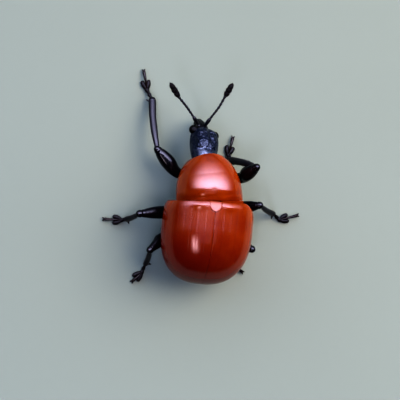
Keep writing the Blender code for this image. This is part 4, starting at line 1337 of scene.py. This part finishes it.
def toes(leg):
    """Two toe joints that widen forward and a pad of two lobes, flat on the floor."""
    start, joint, pad, _, ahead, across = foot_line(leg)
    first = limb(smooth_rows((
        (*start, 0.045), (*start.lerp(joint, 0.5), 0.058), (*start.lerp(joint, 0.85), 0.080), (*joint, 0.070),
    ), 5), 20, 0.85)
    second = limb(smooth_rows((
        (*joint.lerp(pad, 0.12), 0.050), (*joint.lerp(pad, 0.6), 0.078), (*joint.lerp(pad, 0.95), 0.088),
    ), 5), 20, 0.72)
    lobes = [limb(rows, 24, 0.62) for rows in forked(pad, ahead, across, LOBE_STATIONS, 6)]
    return trim(joined(first, second, *lobes), Vector((0, 0, 0)), Vector((0, 0, -1)))


def claws(leg, sizes):
    """The slim last joint with its round end, and two claws that spread and hook down to the floor."""
    _, _, pad, tip, ahead, across = foot_line(leg)
    thick = sizes.claw_joint / 2
    end = tip - ahead * 0.15
    up = Vector((0, 0, CLAW_JOINT_ARCH))
    stalk = limb(smooth_rows((
        (*(pad + ahead * 0.02), thick * 0.6), (*(pad.lerp(end, 0.35) + up), thick * 0.75),
        (*(pad.lerp(end, 0.75) + up), thick), (*end, thick * 1.25),
    ), 8), 24)
    hooks = forked(end + ahead * 0.008, ahead, across, CLAW_STATIONS, 5)
    return joined(stalk, *(limb(rows, 14) for rows in hooks))


# Operators


class WEEVIL_OT_wing_cases(bpy.types.Operator):
    """Two glossy red wing cases with rows of pits"""

    bl_idname = "weevil.wing_cases"
    bl_label = "Wing cases"

    def execute(self, context):
        for side in SIDES:
            node = f"wing_case_{side}"
            mesh = wing_case(side, context.scene.weevil_sizes)
            add_shape(f"{node}_shell", mesh, "glossy_red_wing_case", "red_shell", node, hard_edges=True)
        return {"FINISHED"}


class WEEVIL_OT_plates(bpy.types.Operator):
    """The pronotum and the small shield behind it"""

    bl_idname = "weevil.plates"
    bl_label = "Pronotum and scutellum"

    def execute(self, context):
        for node, build, finish in (
            ("pronotum", pronotum, "glossy_red_plate"), ("scutellum", scutellum, "satin_red_scutellum"),
        ):
            add_shape(f"{node}_shell", build(), finish, "red_shell", node, hard_edges=True)
        return {"FINISHED"}


class WEEVIL_OT_underside(bpy.types.Operator):
    """Breast, ringed belly and tail plate"""

    bl_idname = "weevil.underside"
    bl_label = "Underside"

    def execute(self, context):
        half = GAP / 2
        breast = trim_at_seam(
            belly(CASE_FRONT_Y + END_INSET, BELLY_JOINT_Y - half, 60, 1.0, breast_lift), True)
        rings = belly(BELLY_JOINT_Y + half, TAIL_PLATE_Y - half, 90, ABDOMEN_DEPTH_SHARE, belly_lift)
        tail = belly(TAIL_PLATE_Y + half, BELLY_REAR_Y, 40, ABDOMEN_DEPTH_SHARE, None)
        for node, mesh, finish, slot in (
            ("thorax_underside", breast, "pitted_blue_black_shell", "blue_black_shell"),
            ("abdomen", rings, "satin_red_belly", "red_shell"),
            ("tail_plate", tail, "satin_red_belly", "red_shell"),
        ):
            add_shape(f"{node}_shell", mesh, finish, slot, node, hard_edges=True)
        return {"FINISHED"}


class WEEVIL_OT_head(bpy.types.Operator):
    """Head, snout and jaws"""

    bl_idname = "weevil.head"
    bl_label = "Head and snout"

    def execute(self, context):
        add_shape("head_shell", head(), "pitted_blue_black_shell", "blue_black_shell", "head")
        add_shape("snout_shell", snout(), "glossy_black_shell", "black_shell", "snout")
        for side in SIDES:
            add_shape(f"jaw_{side}_hook", jaw(side), "glossy_black_shell", "black_shell", f"jaw_{side}")
        return {"FINISHED"}


class WEEVIL_OT_eyes(bpy.types.Operator):
    """Two eyes of six-sided facets"""

    bl_idname = "weevil.eyes"
    bl_label = "Eyes"

    def execute(self, context):
        x, y, z = EYE_PLACE
        for side, sign in SIDES.items():
            # Facets are drawn about half again as wide as the real ones, so that they show close up.
            data = grown(
                tree_named("eye_facets", facet_tree), bpy.data.meshes.new("seed"),
                centre=head_point((sign * x, y, z)), radius=EYE_RADIUS - FACET_RAISE, lift=FACET_RAISE,
                top_share=FACET_TOP_SHARE, material=finish_named("polished_black_facet"))
            add_piece(f"eye_{side}_facets", data, "black_eye", f"eye_{side}")
        return {"FINISHED"}


class WEEVIL_OT_feelers(bpy.types.Operator):
    """Feelers with a long first joint, seven beads and a downy club of three joints"""

    bl_idname = "weevil.feelers"
    bl_label = "Feelers"

    def execute(self, context):
        sizes = context.scene.weevil_sizes
        grey = "bloomed_grey_black_shell"
        for seed, side in enumerate(SIDES):
            node = f"feeler_{side}"
            add_shape(f"{node}_scape", feeler_shaft(side, sizes), grey, "black_shell", node)
            add_piece(f"{node}_beads", feeler_beads(side, sizes, finish_named(grey)), "black_shell", node)
            club = as_data(feeler_club(side, sizes), finish_named("dull_brown_club"))
            root, tip = club_ends(side)
            add_hair(f"club_{side}_down", club.copy(), "brown_club", seed=seed, density=900.0,
                     length=sizes.down, width=0.006, lean=(tip - root).normalized() * 0.9, below=ANY_SLOPE)
            add_piece(f"club_{side}_joints", club, "brown_club", f"club_{side}")
        return {"FINISHED"}


class WEEVIL_OT_thighs(bpy.types.Operator):
    """Hips and thighs of the six legs"""

    bl_idname = "weevil.thighs"
    bl_label = "Hips and thighs"

    def execute(self, context):
        for leg in LEGS:
            add_shape(f"hip_{leg}_ball", hip(leg), "glossy_black_shell", "black_shell", f"hip_{leg}")
            add_shape(f"thigh_{leg}_shell", thigh(leg), "glossy_black_shell", "black_shell", f"thigh_{leg}")
        return {"FINISHED"}


class WEEVIL_OT_shins(bpy.types.Operator):
    """Slender shins with a spur, a row of teeth and sparse bristles"""

    bl_idname = "weevil.shins"
    bl_label = "Shins"

    def execute(self, context):
        sizes = context.scene.weevil_sizes
        grey = finish_named("bloomed_grey_black_shell")
        for number, leg in enumerate(LEGS):
            node = f"shin_{leg}"
            data = as_data(shin(leg, sizes), grey)
            way = shin_line(leg, sizes)[2]
            add_hair(f"{node}_bristles", data.copy(), "black_shell", seed=20 + number, density=60.0,
                     length=sizes.bristle, width=0.007, lean=way * 1.4, below=ANY_SLOPE)
            add_piece(f"{node}_shell", data, "black_shell", node)
            add_piece(f"{node}_teeth", shin_teeth(leg, sizes, grey), "black_shell", node)
        return {"FINISHED"}


class WEEVIL_OT_feet(bpy.types.Operator):
    """Toe joints with brushed two-lobed pads, and claws"""

    bl_idname = "weevil.feet"
    bl_label = "Feet and claws"

    def execute(self, context):
        for number, leg in enumerate(LEGS):
            node = f"foot_{leg}"
            data = as_data(toes(leg), finish_named("satin_brown_toe"))
            # Only the undersides carry a brush, whose hairs lie flat on the floor.
            brush = add_hair(f"{node}_brush", data.copy(), "black_shell", seed=40 + number, density=500.0,
                             length=0.03, width=0.006, lean=(0, 0, -0.4), below=0.15)
            for vertex in brush.data.vertices:
                vertex.co.z = max(vertex.co.z, 0.0)
            add_piece(f"{node}_toes", data, "black_shell", node)
            mesh = claws(leg, context.scene.weevil_sizes)
            add_shape(f"{node}_claws", mesh, "dark_red_brown_horn", "black_shell", node)
        return {"FINISHED"}


# The camera stands above the beetle, tipped to its left, 80 mm from the middle of its back.
CAMERA_TILT, CAMERA_YAW, CAMERA_FAR = math.radians(11), math.radians(3.5), 80.0
CAMERA_AIM = Vector((0.0, 0.0, 1.6))
# How far the aim stands from the middle of the picture, to the right and down, in millimetres
CAMERA_OFF = (0.40, 0.12)
SENSOR_WIDTH, CLIP = 36.0, (0.001, 10.0)


def camera_axes():
    """The camera's right, up and back."""
    back = Vector((math.sin(CAMERA_TILT), 0.0, math.cos(CAMERA_TILT)))
    right = Vector((-math.cos(CAMERA_TILT), 0.0, math.sin(CAMERA_TILT)))
    up = Vector((0.0, -1.0, 0.0))
    across, over = math.cos(CAMERA_YAW), math.sin(CAMERA_YAW)
    return right * across + up * over, up * across - right * over, back


# Lamps stand this far from the origin, in millimetres. The front light comes from high before the head.
LAMP_FAR = 150
FRONT_HEIGHT = math.radians(46)
FRONT = (0, -math.cos(FRONT_HEIGHT), math.sin(FRONT_HEIGHT))
FRONT_SIZE = (1100, 243)


def softbox(name, direction, size, power, code, roll=0.0):
    """A flat soft lamp far off in the given direction that faces the beetle, rolled about its own axis."""
    lamp = bpy.data.lights.new(name, "AREA")
    lamp.shape = "RECTANGLE"
    lamp.size, lamp.size_y = (side * METRES_PER_MM for side in size)
    lamp.energy = power
    lamp.color = colour(code)[:3]
    obj = bpy.data.objects.new(name, lamp)
    bpy.context.scene.collection.objects.link(obj)
    way = Vector(direction).normalized()
    obj.location = way * LAMP_FAR * METRES_PER_MM
    obj.rotation_mode = "QUATERNION"
    obj.rotation_quaternion = way.to_track_quat("Z", "Y") @ Quaternion((0, 0, 1), roll)
    return obj


def hot_middle(lamp, middle, reach, edge):
    """Makes a softbox brightest round one place, in shares of its sides, and fade to its edge's strength."""
    lamp.use_nodes = True
    tree = lamp.node_tree
    place = add(tree, "ShaderNodeNewGeometry").outputs["Parametric"]
    off = add(tree, "ShaderNodeMapping", {
        "Vector": place, "Location": (-middle[0] / reach[0], -middle[1] / reach[1], 0.0),
        "Scale": (1 / reach[0], 1 / reach[1], 0.0),
    })
    far = add(tree, "ShaderNodeVectorMath", {0: off, 1: off}, operation="DOT_PRODUCT").outputs["Value"]
    fall = add(tree, "ShaderNodeMath", {0: far, 1: -1.0}, operation="MULTIPLY")
    glow = add(tree, "ShaderNodeMath", {0: fall}, operation="EXPONENT")
    whole = add(tree, "ShaderNodeMath", {0: glow, 1: edge}, operation="ADD")
    fill(tree, tree.nodes["Emission"], {"Strength": whole})


class WEEVIL_OT_stage(bpy.types.Operator):
    """Plain pale floor, soft light and the camera"""

    bl_idname = "weevil.stage"
    bl_label = "Stage"

    def execute(self, context):
        stage = context.scene.weevil_stage
        sheet = bmesh.new()
        bmesh.ops.create_grid(sheet, x_segments=8, y_segments=8, size=1.0)
        floor = loose("floor", as_data(sheet, floor_card()))
        world = bpy.data.worlds.new("pale_surround")
        world.use_nodes = True
        fill(world.node_tree, world.node_tree.nodes["Background"], {"Color": stage.surround})
        context.scene.world = world
        # The gloss sees a front light with a hot middle, and the matt surfaces an even one of the same size.
        gloss = softbox("front_softbox", FRONT, FRONT_SIZE, stage.front_power, "#E1E0FF")
        gloss.visible_diffuse = False
        hot_middle(gloss.data, (0.49, 0.86), (0.19, 0.36), 0.04)
        front_fill = softbox("front_fill", FRONT, FRONT_SIZE, stage.matt_power, "#F4F4FF")
        side_fill = softbox("side_fill", (-0.6, -0.3, 0.75), (120, 120), stage.side_power, "#FFDCB8")
        front_fill.visible_glossy = side_fill.visible_glossy = False
        softbox("zenith_fill", (0.0, 0.15, 1.0), (90, 90), stage.zenith_power, "#E4DCFF")
        # A long lamp behind the beetle, rolled along its back, gives the streak on the wing cases.
        streak = softbox(
            "streak_lamp", (0.28, 0.46, 0.83), (80, 96), stage.streak_power, "#FFEEF8", math.radians(47))
        hot_middle(streak.data, (0.5, 0.5), (0.15, 0.38), 0.0)
        right, up, back = camera_axes()
        camera = bpy.data.cameras.new("camera")
        camera.lens, camera.sensor_width = stage.lens, SENSOR_WIDTH
        camera.clip_start, camera.clip_end = CLIP
        eye = bpy.data.objects.new("camera", camera)
        context.scene.collection.objects.link(eye)
        place = CAMERA_AIM + back * CAMERA_FAR - right * CAMERA_OFF[0] + up * CAMERA_OFF[1]
        eye.rotation_mode = "QUATERNION"
        eye.rotation_quaternion = Matrix((right, up, back)).transposed().to_quaternion()
        eye.location = TO_FRAME @ place
        context.scene.camera = eye
        context.scene.view_settings.view_transform = "Standard"
        context.scene.view_settings.look = "Very High Contrast"
        return {"FINISHED"}


OPERATORS = (
    WEEVIL_OT_wing_cases, WEEVIL_OT_plates, WEEVIL_OT_underside, WEEVIL_OT_head, WEEVIL_OT_eyes,
    WEEVIL_OT_feelers, WEEVIL_OT_thighs, WEEVIL_OT_shins, WEEVIL_OT_feet, WEEVIL_OT_stage,
)
GROUPS = {"weevil_sizes": WeevilSizes, "weevil_colours": WeevilColours, "weevil_stage": WeevilStage}


class WEEVIL_PT_panel(bpy.types.Panel):
    """Sizes, colours and the steps that build the beetle"""

    bl_idname = "WEEVIL_PT_panel"
    bl_label = "Leaf-rolling weevil"
    bl_space_type = "VIEW_3D"
    bl_region_type = "UI"
    bl_category = "Weevil"

    def draw(self, context):
        for name, group in GROUPS.items():
            box = self.layout.box()
            for key in group.__annotations__:
                box.prop(getattr(context.scene, name), key)
        for operator in OPERATORS:
            self.layout.operator(operator.bl_idname)


def register():
    """Adds the classes and the scene's settings."""
    for item in (*GROUPS.values(), *OPERATORS, WEEVIL_PT_panel):
        bpy.utils.register_class(item)
    for name, group in GROUPS.items():
        setattr(bpy.types.Scene, name, bpy.props.PointerProperty(type=group))


def unregister():
    """Takes the classes and the scene's settings away."""
    for name in GROUPS:
        delattr(bpy.types.Scene, name)
    for item in reversed((*GROUPS.values(), *OPERATORS, WEEVIL_PT_panel)):
        bpy.utils.unregister_class(item)


def main():
    """Builds every piece in order."""
    register()
    for operator in OPERATORS:
        getattr(bpy.ops.weevil, operator.bl_idname.split(".")[1])()


if __name__ == "__main__":
    main()
